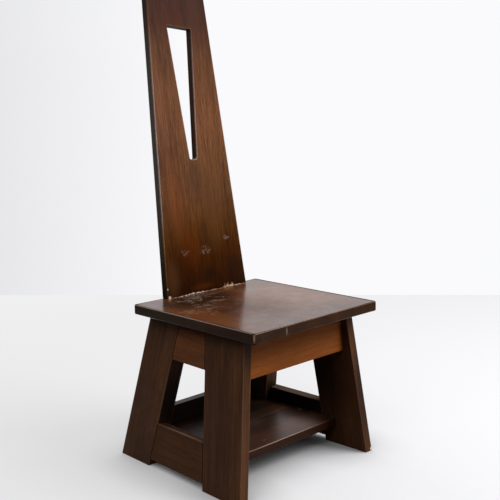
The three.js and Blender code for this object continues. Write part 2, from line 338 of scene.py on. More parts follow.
@dataclass(frozen=True)
class StainedMahogany(Finish):
    """Mahogany, planed, stained nearly black brown and rubbed with shellac and wax.

    The eye sees long fine streaks along the grain, broad darker and warmer bands, short dark
    pores, cloudy stain, and pale arrises, partly stain rubbed down to a paler brown and partly
    painted highlight. Its tones also lay painted shade, sheen, reflections and highlights in
    chosen places. Real pores are a few tenths of a millimetre wide, too fine to show here, so
    the pores and the streaks are drawn coarser.

    A span names the strengths of a pattern at which its colour sets in and is full.
    """

    # The stain's deepest, middle and warmest brown, its pores, the pale colour of the arrises, which
    # is partly wood under worn stain and partly painted highlight, and what the narrow faces are
    # multiplied by.
    deep: str
    middle: str
    warm: str
    pore: str = "#160a05"
    worn_and_glint: str = "#7a5138"
    narrow: str = "#e0e0e0"
    gloss: Gloss = Gloss.SATIN

    # The figure: the size of each pattern, its span, and how much of its colour shows.
    band_width_mm: float = 46.0
    band_length_mm: float = 900.0
    band_span: Span = (0.36, 0.64)
    streak_width_mm: float = 3.6
    streak_length_mm: float = 260.0
    warm_span: Span = (0.42, 0.68)
    dark_span: Span = (0.5, 0.3)
    warm_share: float = 0.55
    pore_width_mm: float = 1.3
    pore_length_mm: float = 26.0
    pore_span: Span = (0.56, 0.68)
    pore_share: float = 0.5
    cloud_mm: float = 150.0
    cloud_span: Span = (0.45, 0.7)
    cloud_share: float = 0.35

    # The pale arrises, partly wear and partly painted highlight: how far they reach from an arris,
    # their patches, and how sharply an arris turns.
    wear_and_glint_share: float = 0.7
    wear_and_glint_least: float = 0.25
    wear_and_glint_reach_mm: float = 2.2
    patch_mm: float = 38.0
    wear_and_glint_span: Span = (0.36, 0.6)
    arris_span: Span = (0.995, 0.86)

    # The surface: smears of the polish, the relief of the streaks, and slow waves left by the plane.
    smear_span: Span = (0.35, 0.65)
    relief_mm: float = 0.06
    wave_mm: float = 85.0
    wave_depth_mm: float = 0.0

    # The places that differ: the share of their reach that is at full strength, and how far the
    # gaps weaken or strengthen a mark.
    core: float = 0.2
    gap_span: Span = (0.38, 0.62)
    gap_strengths: Span = (0.66, 1.14)
    tones: tuple[Tone, ...] = ()
    marks: tuple[Mark, ...] = ()
    dulls: tuple[Dull, ...] = ()
    height_sheen_and_shade_mm: tuple[tuple[float, str], ...] = ()

    def nearness(self, tree: Tree, spot: Mark | Tone | Dull, amount: float,
                 easing: str = "SMOOTHSTEP") -> Socket:
        """Measures how near a place is.

        Args:
            tree: The material's tree.
            spot: The mark, the tone or the dulled place.
            amount: The share at its middle.
            easing: How the share falls off.

        Returns:
            A share that falls from the amount to nothing at the end of the reach.
        """
        place = add_node(tree, "ShaderNodeTexCoord")
        off = add_node(tree, "ShaderNodeVectorMath", {
            0: place.outputs["Object"], 1: tuple(value * MM for value in spot.at_mm),
        }, operation="SUBTRACT")
        eased = add_node(tree, "ShaderNodeVectorMath", {
            0: off.outputs[0], 1: tuple(1 / (value * MM) for value in spot.reach_mm),
        }, operation="MULTIPLY")
        far = add_node(tree, "ShaderNodeVectorMath", {0: eased.outputs[0]}, operation="LENGTH")
        near = add_node(tree, "ShaderNodeMapRange", {
            0: far.outputs["Value"], 1: 1.0, 2: self.core, 4: amount,
        }, interpolation_type=easing)
        return near.outputs[0]

    def broken(self, tree: Tree, near: Socket, gap_mm: float) -> Socket:
        """Breaks a marked place up with gaps.

        Args:
            tree: The material's tree.
            near: The share that falls off from its middle.
            gap_mm: The size of the gaps.

        Returns:
            The share with its gaps.
        """
        place = add_node(tree, "ShaderNodeTexCoord")
        clumps = add_node(tree, "ShaderNodeTexNoise", {
            "Vector": place.outputs["Object"], "Scale": 1 / (gap_mm * MM), "Detail": 2.0,
        })
        kept = add_node(tree, "ShaderNodeMapRange", {
            0: clumps.outputs[0], 1: self.gap_span[0], 2: self.gap_span[1],
            3: self.gap_strengths[0], 4: self.gap_strengths[1],
        })
        parted = add_node(tree, "ShaderNodeMath", {0: near, 1: kept.outputs[0]}, operation="MULTIPLY")
        return parted.outputs[0]

    def along_grain(self, tree: Tree, width_mm: float, length_mm: float) -> Socket:
        """Scales the board's own grain coordinates for one pattern.

        Args:
            tree: The material's tree.
            width_mm: The pattern's width across the grain.
            length_mm: Its length along the grain.

        Returns:
            The scaled coordinates.
        """
        grain = add_node(tree, "ShaderNodeAttribute", attribute_name="grain")
        scale = (1 / (width_mm * MM), 1 / (width_mm * MM), 1 / (length_mm * MM))
        scaled = add_node(tree, "ShaderNodeVectorMath", {
            0: grain.outputs["Vector"], 1: scale,
        }, operation="MULTIPLY")
        return scaled.outputs[0]

    def figure(self, tree: Tree) -> tuple[Socket, Socket]:
        """Mixes bands, streaks, pores and cloudy stain.

        Args:
            tree: The material's tree.

        Returns:
            The wood's colour and the streaks' strength.
        """
        bands = add_node(tree, "ShaderNodeTexNoise", {
            "Vector": self.along_grain(tree, self.band_width_mm, self.band_length_mm),
            "Scale": 1.0, "Detail": 3.0, "Roughness": 0.55, "Distortion": 0.4,
        })
        streaks = add_node(tree, "ShaderNodeTexNoise", {
            "Vector": self.along_grain(tree, self.streak_width_mm, self.streak_length_mm),
            "Scale": 1.0, "Detail": 5.0, "Roughness": 0.62, "Distortion": 0.15,
        })
        pores = add_node(tree, "ShaderNodeTexNoise", {
            "Vector": self.along_grain(tree, self.pore_width_mm, self.pore_length_mm),
            "Scale": 1.0, "Detail": 1.0,
        })
        place = add_node(tree, "ShaderNodeTexCoord")
        clouds = add_node(tree, "ShaderNodeTexNoise", {
            "Vector": place.outputs["Object"], "Scale": 1 / (self.cloud_mm * MM), "Detail": 3.0,
        })
        colour = linear(self.deep)
        for pattern, span, amount, laid_colour in (
            (bands, self.band_span, 1.0, self.middle),
            (streaks, self.warm_span, self.warm_share, self.warm),
            (streaks, self.dark_span, self.warm_share, self.deep),
            (pores, self.pore_span, self.pore_share, self.pore),
            (clouds, self.cloud_span, self.cloud_share, self.deep),
        ):
            share = add_node(tree, "ShaderNodeMapRange", {
                0: pattern.outputs[0], 1: span[0], 2: span[1], 4: amount,
            })
            laid = add_node(tree, "ShaderNodeMix", {
                0: share.outputs[0], 6: colour, 7: linear(laid_colour),
            }, data_type="RGBA")
            colour = laid.outputs[2]
        return colour, streaks.outputs[0]

    def toned(self, tree: Tree, colour: Socket) -> Socket:
        """Darkens the narrow faces, and changes the colour from place to place and by height: changes
        of the stain, and in chosen places painted shade, sheen, reflections and highlights.

        Args:
            tree: The material's tree.
            colour: The colour so far.

        Returns:
            The toned colour.
        """
        edges = add_node(tree, "ShaderNodeAttribute", attribute_name="narrow")
        flats = add_node(tree, "ShaderNodeMath", {0: 1.0, 1: edges.outputs["Fac"]}, operation="SUBTRACT")
        narrow = add_node(tree, "ShaderNodeMix", {
            0: edges.outputs["Fac"], 6: colour, 7: linear(self.narrow),
        }, data_type="RGBA", blend_type="MULTIPLY")
        colour = self.tinted(tree, narrow.outputs[2])
        for tone in self.tones:
            near = self.nearness(tree, tone, tone.amount)
            if tone.faces is not Faces.ALL:
                chosen = edges.outputs["Fac"] if tone.faces is Faces.NARROW else flats.outputs[0]
                limited = add_node(tree, "ShaderNodeMath", {0: near, 1: chosen}, operation="MULTIPLY")
                near = limited.outputs[0]
            leaning = add_node(tree, "ShaderNodeMix", {
                0: near, 6: colour, 7: linear(tone.colour),
            }, data_type="RGBA")
            colour = leaning.outputs[2]
        return colour

    def tinted(self, tree: Tree, colour: Socket | Colour) -> Socket | Colour:
        """Multiplies the colour by height, if this finish has such a ramp. On the plank that lays a
        painted sheen, cooler and greyer at mid height, and a darkening near the seat that is partly
        old dirt and partly painted shade.

        Args:
            tree: The material's tree.
            colour: The colour so far.

        Returns:
            The tinted colour.
        """
        if not self.height_sheen_and_shade_mm:
            return colour
        place = add_node(tree, "ShaderNodeTexCoord")
        apart = add_node(tree, "ShaderNodeSeparateXYZ", {0: place.outputs["Object"]})
        low = self.height_sheen_and_shade_mm[0][0]
        high = self.height_sheen_and_shade_mm[-1][0]
        climb = add_node(tree, "ShaderNodeMapRange", {0: apart.outputs["Z"], 1: low * MM, 2: high * MM})
        ramp = add_node(tree, "ShaderNodeValToRGB", {0: climb.outputs[0]})
        steps = ramp.color_ramp.elements
        ready = len(steps)
        for number, (height, tone) in enumerate(self.height_sheen_and_shade_mm):
            where = (height - low) / (high - low)
            step = steps[number] if number < ready else steps.new(where)
            step.position = where
            step.color = linear(tone)
        multiplied = add_node(tree, "ShaderNodeMix", {
            0: 1.0, 6: colour, 7: ramp.outputs[0],
        }, data_type="RGBA", blend_type="MULTIPLY")
        return multiplied.outputs[2]

    def marked(self, tree: Tree, colour: Socket) -> Socket:
        """Lays the named marks over the wood.

        Args:
            tree: The material's tree.
            colour: The colour so far.

        Returns:
            The colour with its marks.
        """
        place = add_node(tree, "ShaderNodeTexCoord")
        for mark in self.marks:
            near = self.nearness(tree, mark, 1.0, "LINEAR")
            if mark.gap_mm > 0:
                near = self.broken(tree, near, mark.gap_mm)
            specks = add_node(tree, "ShaderNodeTexNoise", {
                "Vector": place.outputs["Object"], "Scale": 1 / (mark.grit_mm * MM), "Detail": 4.0,
                "Roughness": 0.7,
            })
            fading = add_node(tree, "ShaderNodeMath", {0: specks.outputs[0], 1: near}, operation="MULTIPLY")
            share = add_node(tree, "ShaderNodeMapRange", {
                0: fading.outputs[0], 1: mark.rim(), 2: mark.rim() + mark.soft, 4: mark.amount,
            })
            laid = add_node(tree, "ShaderNodeMix", {
                0: share.outputs[0], 6: colour, 7: linear(mark.colour),
            }, data_type="RGBA")
            colour = laid.outputs[2]
        return colour

    def worn_and_glinting_arrises(self, tree: Tree, colour: Socket) -> Socket:
        """Paints the arrises paler in patches, partly stain rubbed off and partly painted highlight.

        Args:
            tree: The material's tree.
            colour: The colour so far.

        Returns:
            The colour with pale arrises, partly worn and partly painted highlight.
        """
        rounded = add_node(tree, "ShaderNodeBevel", {"Radius": self.wear_and_glint_reach_mm * MM}, samples=6)
        surface = add_node(tree, "ShaderNodeNewGeometry")
        facing = add_node(tree, "ShaderNodeVectorMath", {
            0: rounded.outputs[0], 1: surface.outputs["Normal"],
        }, operation="DOT_PRODUCT")
        edge = add_node(tree, "ShaderNodeMapRange", {
            0: facing.outputs["Value"], 1: self.arris_span[0], 2: self.arris_span[1],
        })
        place = add_node(tree, "ShaderNodeTexCoord")
        patches = add_node(tree, "ShaderNodeTexNoise", {
            "Vector": place.outputs["Object"], "Scale": 1 / (self.patch_mm * MM), "Detail": 6.0,
            "Roughness": 0.7,
        })
        patch = add_node(tree, "ShaderNodeMapRange", {
            0: patches.outputs[0], 1: self.wear_and_glint_span[0], 2: self.wear_and_glint_span[1], 3: self.wear_and_glint_least, 4: 1.0,
        })
        both = add_node(tree, "ShaderNodeMath", {
            0: edge.outputs[0], 1: patch.outputs[0],
        }, operation="MULTIPLY")
        share = add_node(tree, "ShaderNodeMath", {
            0: both.outputs[0], 1: self.wear_and_glint_share,
        }, operation="MULTIPLY")
        worn_and_glint = add_node(tree, "ShaderNodeMix", {
            0: share.outputs[0], 6: colour, 7: self.tinted(tree, linear(self.worn_and_glint)),
        }, data_type="RGBA")
        return worn_and_glint.outputs[2]

    def coat(self, tree: Tree) -> Socket | float:
        """Gives the polish, which differs on narrow faces and in dulled places.

        Args:
            tree: The material's tree.

        Returns:
            The coat's weight, or the value that it has everywhere.
        """
        values = GLOSS_VALUES[self.gloss]
        if values.edge_coat_share == 1.0 and not self.dulls:
            return values.coat
        edges = add_node(tree, "ShaderNodeAttribute", attribute_name="narrow")
        weight = add_node(tree, "ShaderNodeMapRange", {
            0: edges.outputs["Fac"], 3: values.coat, 4: values.coat * values.edge_coat_share,
        })
        for dull in self.dulls:
            gone = self.nearness(tree, dull, dull.amount)
            kept = add_node(tree, "ShaderNodeMath", {0: 1.0, 1: gone}, operation="SUBTRACT")
            weight = add_node(tree, "ShaderNodeMath", {
                0: weight.outputs[0], 1: kept.outputs[0],
            }, operation="MULTIPLY")
        return weight.outputs[0]

    def skin(self, tree: Tree) -> Socket:
        """Builds the stained and polished wood.

        Args:
            tree: The material's tree.

        Returns:
            The shader's output.
        """
        values = GLOSS_VALUES[self.gloss]
        colour, streaks = self.figure(tree)
        colour = self.toned(tree, colour)
        colour = self.marked(tree, colour)
        colour = self.worn_and_glinting_arrises(tree, colour)
        place = add_node(tree, "ShaderNodeTexCoord")
        smears = add_node(tree, "ShaderNodeTexNoise", {
            "Vector": place.outputs["Object"], "Scale": 1 / (self.patch_mm * MM), "Detail": 5.0,
            "Roughness": 0.65,
        })
        roughness = add_node(tree, "ShaderNodeMapRange", {
            0: smears.outputs[0], 1: self.smear_span[0], 2: self.smear_span[1],
            3: values.smooth, 4: values.rough,
        })
        relief = add_node(tree, "ShaderNodeBump", {
            "Strength": 1.0, "Distance": self.relief_mm * MM, "Height": streaks,
        })
        if self.wave_depth_mm > 0:
            waves = add_node(tree, "ShaderNodeTexNoise", {
                "Vector": place.outputs["Object"], "Scale": 1 / (self.wave_mm * MM), "Detail": 2.0,
            })
            relief = add_node(tree, "ShaderNodeBump", {
                "Strength": 1.0, "Distance": self.wave_depth_mm * MM, "Height": waves.outputs[0],
                "Normal": relief.outputs[0],
            })
        skin = add_node(tree, "ShaderNodeBsdfPrincipled", {
            "Base Color": colour, "Roughness": roughness.outputs[0], "Normal": relief.outputs[0],
            "IOR": 1.5, "Specular IOR Level": values.level, "Coat Weight": self.coat(tree),
            "Coat Roughness": values.coat_roughness, "Coat IOR": 1.5,
        })
        return skin.outputs[0]


@dataclass(frozen=True)
class SawnPine(Finish):
    """Secondary pine, sawn and left bare: dull, pale brown, with soft bands and saw marks."""

    name: str = "sawn_pine"
    slot: str = "hidden_wood"
    pale: str = "#8d6b49"
    dark: str = "#5c4029"
    band_mm: float = 7.0
    band_span: Span = (0.35, 0.65)
    stretch: Place = (1.0, 0.12, 1.0)
    saw_mm: float = 2.4
    relief_mm: float = 0.25

    def skin(self, tree: Tree) -> Socket:
        """Builds the bare sawn wood.

        Args:
            tree: The material's tree.

        Returns:
            The shader's output.
        """
        place = add_node(tree, "ShaderNodeTexCoord")
        stretched = add_node(tree, "ShaderNodeMapping", {
            "Vector": place.outputs["Object"], "Scale": self.stretch,
        })
        bands = add_node(tree, "ShaderNodeTexNoise", {
            "Vector": stretched.outputs[0], "Scale": 1 / (self.band_mm * MM), "Detail": 4.0,
        })
        share = add_node(tree, "ShaderNodeMapRange", {
            0: bands.outputs[0], 1: self.band_span[0], 2: self.band_span[1],
        })
        colour = add_node(tree, "ShaderNodeMix", {
            0: share.outputs[0], 6: linear(self.dark), 7: linear(self.pale),
        }, data_type="RGBA")
        marks = add_node(tree, "ShaderNodeTexNoise", {
            "Vector": place.outputs["Object"], "Scale": 1 / (self.saw_mm * MM), "Detail": 2.0,
        })
        relief = add_node(tree, "ShaderNodeBump", {
            "Distance": self.relief_mm * MM, "Height": marks.outputs[0],
        })
        skin = add_node(tree, "ShaderNodeBsdfPrincipled", {
            "Base Color": colour.outputs[2], "Roughness": 0.85, "Specular IOR Level": 0.2,
            "Normal": relief.outputs[0],
        })
        return skin.outputs[0]


@dataclass(frozen=True)
class DriedGlue(Finish):
    """Old hide glue and dust in a corner: a brittle pale crust with brown dirt in its hollows.

    Its specks are under a millimetre, too fine to show, so they are drawn coarser. Torn bare wood
    and packed dirt are as dull and broken and take other colours.
    """

    name: str = "dried_glue"
    slot: str = "plank_wood"
    crust: str = "#ad9c8c"
    dirt: str = "#4a2c1a"
    speck_mm: float = 4.5
    speck_span: Span = (0.45, 0.61)
    relief_mm: float = 0.6
    level: float = 0.5

    def skin(self, tree: Tree) -> Socket:
        """Builds the crust.

        Args:
            tree: The material's tree.

        Returns:
            The shader's output.
        """
        place = add_node(tree, "ShaderNodeTexCoord")
        specks = add_node(tree, "ShaderNodeTexNoise", {
            "Vector": place.outputs["Object"], "Scale": 1 / (self.speck_mm * MM), "Detail": 5.0,
            "Roughness": 0.7,
        })
        share = add_node(tree, "ShaderNodeMapRange", {
            0: specks.outputs[0], 1: self.speck_span[0], 2: self.speck_span[1],
        })
        colour = add_node(tree, "ShaderNodeMix", {
            0: share.outputs[0], 6: linear(self.dirt), 7: linear(self.crust),
        }, data_type="RGBA")
        relief = add_node(tree, "ShaderNodeBump", {
            "Distance": self.relief_mm * MM, "Height": specks.outputs[0],
        })
        skin = add_node(tree, "ShaderNodeBsdfPrincipled", {
            "Base Color": colour.outputs[2], "Roughness": 0.8, "Specular IOR Level": self.level,
            "Normal": relief.outputs[0],
        })
        return skin.outputs[0]


@dataclass(frozen=True)
class DulledSteel(Finish):
    """Turned steel screws, dulled by age: grey metal with brown stains."""

    name: str = "dulled_steel"
    slot: str = "screw_steel"
    metal: str = "#77736c"
    stain: str = "#4b3a2c"
    stain_mm: float = 2.5
    stain_span: Span = (0.45, 0.62)
    roughness: Span = (0.35, 0.7)

    def skin(self, tree: Tree) -> Socket:
        """Builds the stained metal.

        Args:
            tree: The material's tree.

        Returns:
            The shader's output.
        """
        place = add_node(tree, "ShaderNodeTexCoord")
        stains = add_node(tree, "ShaderNodeTexNoise", {
            "Vector": place.outputs["Object"], "Scale": 1 / (self.stain_mm * MM), "Detail": 4.0,
        })
        share = add_node(tree, "ShaderNodeMapRange", {
            0: stains.outputs[0], 1: self.stain_span[0], 2: self.stain_span[1],
        })
        colour = add_node(tree, "ShaderNodeMix", {
            0: share.outputs[0], 6: linear(self.metal), 7: linear(self.stain),
        }, data_type="RGBA")
        roughness = add_node(tree, "ShaderNodeMapRange", {
            0: share.outputs[0], 3: self.roughness[0], 4: self.roughness[1],
        })
        skin = add_node(tree, "ShaderNodeBsdfPrincipled", {
            "Base Color": colour.outputs[2], "Metallic": 1.0, "Roughness": roughness.outputs[0],
        })
        return skin.outputs[0]


# Every tone gives its middle, reach, colour, amount and faces, every mark its middle, reach, colour,
# amount, grit, cover and gap, and every dulled place its middle, reach and amount.

# The polished seat: a deep even shine that mirrors the wall, worn and scuffed where people sit.
# Its left edge is darkened as painted shade, and the pale line along its right arris and its
# pale front left corner are painted highlights.
SEAT_WOOD = StainedMahogany(
    name="polished_seat_mahogany", slot="seat_wood", deep="#2f170a", middle="#4d2a12", warm="#6c3b16",
    gloss=Gloss.POLISHED, narrow="#b1b48e", wave_depth_mm=0.7, wear_and_glint_share=0.35, worn_and_glint="#6e4d38",
    warm_share=0.45, pore_share=0.35,
    tones=(
        Tone((-185, -80, 430), (70, 190, 30), "#6b3b14", 0.3),
        Tone((-120, 40, 430), (90, 120, 30), "#2c170b", 0.5),
        Tone((-80, 92, 430), (190, 84, 30), "#140a05", 0.68),
        Tone((-60, -120, 430), (60, 90, 30), "#5c3110", 0.35),
        Tone((31, 80, 430), (100, 50, 30), "#1a0c05", 0.65),
        Tone((-98, -60, 430), (50, 26, 30), "#1f0f07", 0.55),
        Tone((-20, 20, 430), (40, 22, 30), "#241209", 0.45),
        Tone((90, -60, 430), (60, 60, 30), "#2c1a12", 0.35),
        Tone((130, 90, 430), (70, 60, 30), "#2c1a12", 0.35),
        Tone((-117, -281, 417), (1.3, 6, 16), "#9a928c", 0.8),
        # Painted highlight on the front left corner's upright arris.
        Tone((-226, -281, 421), (5, 5, 20), "#b0927a", 0.8),
        # Painted shade on the left edge.
        Tone((-226, 80, 417), (40, 280, 60), "#2c1d0e", 0.95, Faces.NARROW),
        Tone((120, -30, 430), (150, 260, 10), "#7a4626", 0.5, Faces.BROAD),
        # Painted highlight along the right arris.
        Tone((226, -50, 430), (8, 270, 8), "#c09880", 0.7),
    ),
    marks=(
        Mark((-81, 90, 430), (290, 130, 10), "#a89484", 0.5, 3.0, 0.25, 26),
        Mark((-151, -19, 430), (250, 210, 10), "#9c8876", 0.42, 4.0, 0.22, 24),
        Mark((-46, 32, 430), (280, 190, 10), "#9c8876", 0.42, 3.5, 0.25, 26),
        Mark((-150, -12, 430), (90, 80, 10), "#96785f", 0.3, 4.0, 0.42, 15),
        Mark((-20, 120, 430), (180, 44, 10), "#8d7565", 0.32, 4.0, 0.42),
        Mark((90, 80, 430), (110, 80, 10), "#8d7565", 0.22, 6.0, 0.4),
    ),
    dulls=(
        Dull((-30, -60, 430), (150, 190, 20), 0.35),
    ),
)
# The plank: redder and duller than the seat, with fine upright streaks and pale arrises, partly
# rubbed and partly painted highlight. Along its height it is darkest near the seat, partly old
# dirt and partly painted shade, coolest and greyest at mid height, a painted sheen, and browner
# again towards its head.
PLANK_WOOD = StainedMahogany(
    name="red_plank_mahogany", slot="plank_wood", deep="#523019", middle="#6c4122", warm="#8a562e",
    # The very pale arrises are partly wear and partly painted highlight.
    gloss=Gloss.MATT, worn_and_glint="#e6cabc", narrow="#9c9896", wear_and_glint_share=0.95, wear_and_glint_least=0.75, wear_and_glint_reach_mm=5.2,
    warm_share=0.6, pore_share=0.5, streak_width_mm=2.4, streak_length_mm=85.0, band_width_mm=34.0,
    band_length_mm=600.0,
    tones=(
        Tone((-62, 187, 690), (50, 80, 150), "#753b1d", 0.3),
        Tone((15, 194, 745), (36, 60, 80), "#422c1c", 0.5),
        Tone((64, 182, 660), (56, 80, 150), "#4f341b", 0.4),
        Tone((35, 157, 478), (45, 30, 26), "#180c05", 0.5),
        Tone((125, 158, 484), (40, 30, 50), "#1a0e07", 0.45),
        Tone((0, 154, 446), (60, 20, 13), "#4e2609", 0.28),
        # Painted reflection: the narrow faces are greyed as if they mirrored the white wall.
        Tone((-104, 200, 850), (120, 160, 520), "#504a44", 0.75, Faces.NARROW),
        Tone((-78, 215, 960), (34, 80, 240), "#7c4c34", 0.18, Faces.BROAD),
        Tone((76, 245, 1180), (44, 80, 150), "#3c251a", 0.35, Faces.BROAD),
        Tone((-30, 168, 560), (50, 60, 90), "#4f1f03", 0.34),
        Tone((24, 172, 585), (40, 60, 80), "#241208", 0.4),
        Tone((-102, 158, 480), (34, 40, 80), "#5c3c24", 0.22, Faces.BROAD),
    ),
    marks=(
        Mark((107, 169, 570), (34, 40, 20), "#8f7a6e", 0.34, 6.0, 0.42),
        Mark((23, 166, 544), (60, 40, 38), "#8a7468", 0.32, 8.0, 0.38),
        Mark((-50, 166, 546), (60, 40, 30), "#80695d", 0.26, 8.0, 0.38),
        Mark((-124, 155, 456), (5, 8, 9), "#b39c86", 0.7, 2.5, 0.6),
        Mark((-120, 152, 435), (10, 8, 7), "#c8aa8c", 0.8, 3.0, 0.65),
    ),
    dulls=(
        Dull((0, 165, 500), (300, 150, 340), 1.0),
    ),
    # Painted sheen at mid height, and painted shade near the seat that is partly old dirt.
    height_sheen_and_shade_mm=(
        (430, "#564326"), (530, "#887643"), (600, "#b2ab7c"), (700, "#d9e1ec"), (900, "#e7ebff"),
        (1000, "#dadde8"), (1100, "#bebabc"), (1170, "#94744e"), (1273, "#7c562a"),
    ),
)
# The legs: a satin dark brown with clouds of stain and pale arrises, partly rubbed and partly
# painted highlight. The leg faces under the seat and inside the frames are darkened nearly to
# black as painted shade.
FRAME_WOOD = StainedMahogany(
    name="dark_frame_mahogany", slot="frame_wood", deep="#3b2415", middle="#52331f", warm="#674228",
    narrow="#f4f0ec", warm_share=0.5, pore_share=0.4, cloud_share=0.5, wear_and_glint_share=0.8, wear_and_glint_least=0.5,
    worn_and_glint="#a68068", wear_and_glint_reach_mm=3.2, streak_length_mm=150.0,
    tones=(
        Tone((-236, -238, 190), (40, 26, 240), "#8a604a", 0.12),
        Tone((225, -240, 230), (50, 40, 300), "#20140d", 0.85, Faces.NARROW),
        # Painted shade at the left front leg's top under the seat.
        Tone((-180, -222, 385), (50, 40, 120), "#1a100a", 0.55, Faces.NARROW),
        Tone((-246, 160, 40), (40, 110, 150), "#26170e", 0.4, Faces.BROAD),
        Tone((-215, -150, 200), (60, 26, 260), "#26170e", 0.3, Faces.BROAD),
        # Painted shade on the rear legs' narrow faces inside the frames.
        Tone((-188, 76, 185), (90, 60, 240), "#0c0503", 0.95, Faces.NARROW),
        Tone((205, 92, 90), (70, 44, 85), "#0a0503", 0.95, Faces.NARROW),
        # Painted shade on the right frame's inner faces under the seat.
        Tone((182, -100, 180), (46, 170, 200), "#140b06", 0.75),
        Tone((182, 130, 200), (46, 90, 200), "#140b06", 0.75),
    ),
    marks=(
        Mark((246, -248, 6), (6, 8, 7), "#d8c8b6", 0.9, 2.0, 0.8),
    ),
)
# The upper rails: a redder board under the seat, dulled by dust.
UPPER_RAIL_WOOD = StainedMahogany(
    name="red_rail_mahogany", slot="frame_wood", deep="#5a3622", middle="#74492f", warm="#8a5636",
    gloss=Gloss.DUSTY, narrow="#a8a8a8", warm_share=0.4, pore_share=0.3, wear_and_glint_share=0.1,
)
# The lower rails: dusty and dull. The right rail's broad faces are darkened nearly to black as
# painted shade, its narrow top face is greyed as a painted reflection, and the pale line along
# the left rail's outer upper edge is a painted highlight.
LOWER_RAIL_WOOD = StainedMahogany(
    name="dusty_rail_mahogany", slot="frame_wood", deep="#3e281a", middle="#523727", warm="#654530",
    gloss=Gloss.DUSTY, narrow="#c8c4c0", warm_share=0.4, pore_share=0.3, wear_and_glint_share=0.15,
    tones=(
        # Painted shade on the right rail's broad faces.
        Tone((203, 0, 105), (24, 360, 120), "#0a0503", 0.92, Faces.BROAD),
        # Painted reflection on the right rail's narrow top face.
        Tone((213, 0, 121), (40, 260, 16), "#4e4139", 0.75, Faces.NARROW),
        # Painted highlight along the left rail's outer upper arris.
        Tone((-227, 0, 121), (9, 190, 3.2), "#8a6c58", 0.4),
    ),
)
# The rear rail: its nearly black base and its darker front face are painted shade under the
# seat, and its narrow upper face has a soft shine.
REAR_RAIL_WOOD = StainedMahogany(
    name="rubbed_rail_mahogany", slot="frame_wood", deep="#23150c", middle="#332013", warm="#442b1a",
    gloss=Gloss.RUBBED_EDGE, narrow="#ffffff", warm_share=0.4, pore_share=0.3, wear_and_glint_share=0.4,
    tones=(
        # Painted shade on the broad faces.
        Tone((-60, 153, 95), (220, 14, 90), "#0c0604", 0.75, Faces.BROAD),
    ),
)
# The aprons: kept from wear and light under the seat, so still warm and orange brown.
APRON_WOOD = StainedMahogany(
    name="warm_apron_mahogany", slot="apron_wood", deep="#6b3a16", middle="#8a4b1f", warm="#a86228",
    warm_share=0.4, pore_share=0.3, wear_and_glint_share=0.3,
)
# The shelf: waxed, with a soft shine that is scuffed away in front and dulled by dust behind.
# Its near-black rear and left part are painted shade under the seat, its lighter front right is
# a painted sheen, and the pale line along its front arris is a painted highlight.
SHELF_WOOD = StainedMahogany(
    name="worn_shelf_mahogany", slot="shelf_wood", deep="#211008", middle="#3d200f", warm="#522d16",
    gloss=Gloss.WAXED, narrow="#c4b4a4", wave_depth_mm=0.6, wear_and_glint_share=0.2, worn_and_glint="#93735c",
    tones=(
        # Painted shade at the rear under the seat.
        Tone((40, 96, 79), (330, 90, 20), "#0c0603", 0.95, Faces.BROAD),
        # Painted shade on the left part.
        Tone((-150, 20, 79), (120, 110, 20), "#100906", 0.8, Faces.BROAD),
        # Painted sheen at the front right.
        Tone((130, -90, 79), (120, 70, 20), "#6a4632", 0.5, Faces.BROAD),
        # Painted highlight along the front arris.
        Tone((0, -148.8, 78.5), (240, 2.6, 2.6), "#a8866c", 0.6),
    ),
    dulls=(
        Dull((-120, 60, 79), (150, 130, 20), 0.7),
        Dull((60, 110, 79), (300, 90, 20), 0.6),
    ),
    marks=(
        Mark((198, -28, 78), (20, 11, 8), "#8f8378", 0.55, 3.0, 0.6),
        Mark((221, -77, 78), (22, 10, 8), "#8f8378", 0.55, 3.0, 0.6),
        Mark((-38, -121, 78), (16, 6, 8), "#9a6c4c", 0.5, 3.0, 0.6),
        Mark((40, -10, 78), (120, 60, 8), "#6e5a4c", 0.25, 4.0, 0.45),
        Mark((110, -70, 78), (130, 90, 8), "#8a7464", 0.34, 3.5, 0.32),
        Mark((60, 40, 78), (170, 80, 8), "#6a5648", 0.3, 3.5, 0.26),
    ),
)


def skin_rings(work: bmesh.types.BMesh, rings: list[list[bmesh.types.BMVert]]) -> None:
    """Joins rings of points into a tube with closed ends.

    Args:
        work: The shape that gets the faces.
        rings: The rings from one end to the other, all of as many points.
    """
    for near, far in zip(rings, rings[1:]):
        for number in range(len(near)):
            after = (number + 1) % len(near)
            work.faces.new((near[number], near[after], far[after], far[number]))
    work.faces.new(rings[0][::-1])
    work.faces.new(rings[-1])


def dress_loose(work: bmesh.types.BMesh, name: str, finish: Finish, smooth: bool = False) -> None:
    """Makes closed shapes that stand for no node a dressed piece of the chair.

    Args:
        work: The shapes, which are freed.
        name: The piece's name.
        finish: Its finish.
        smooth: Whether it is shaded smooth.
    """
    bmesh.ops.recalc_face_normals(work, faces=work.faces)
    mesh = bpy.data.meshes.new(name)
    work.to_mesh(mesh)
    work.free()
    if smooth:
        mesh.shade_smooth()
    mesh.materials.append(finish.material())
    settle(link_object(name, mesh), finish.slot)


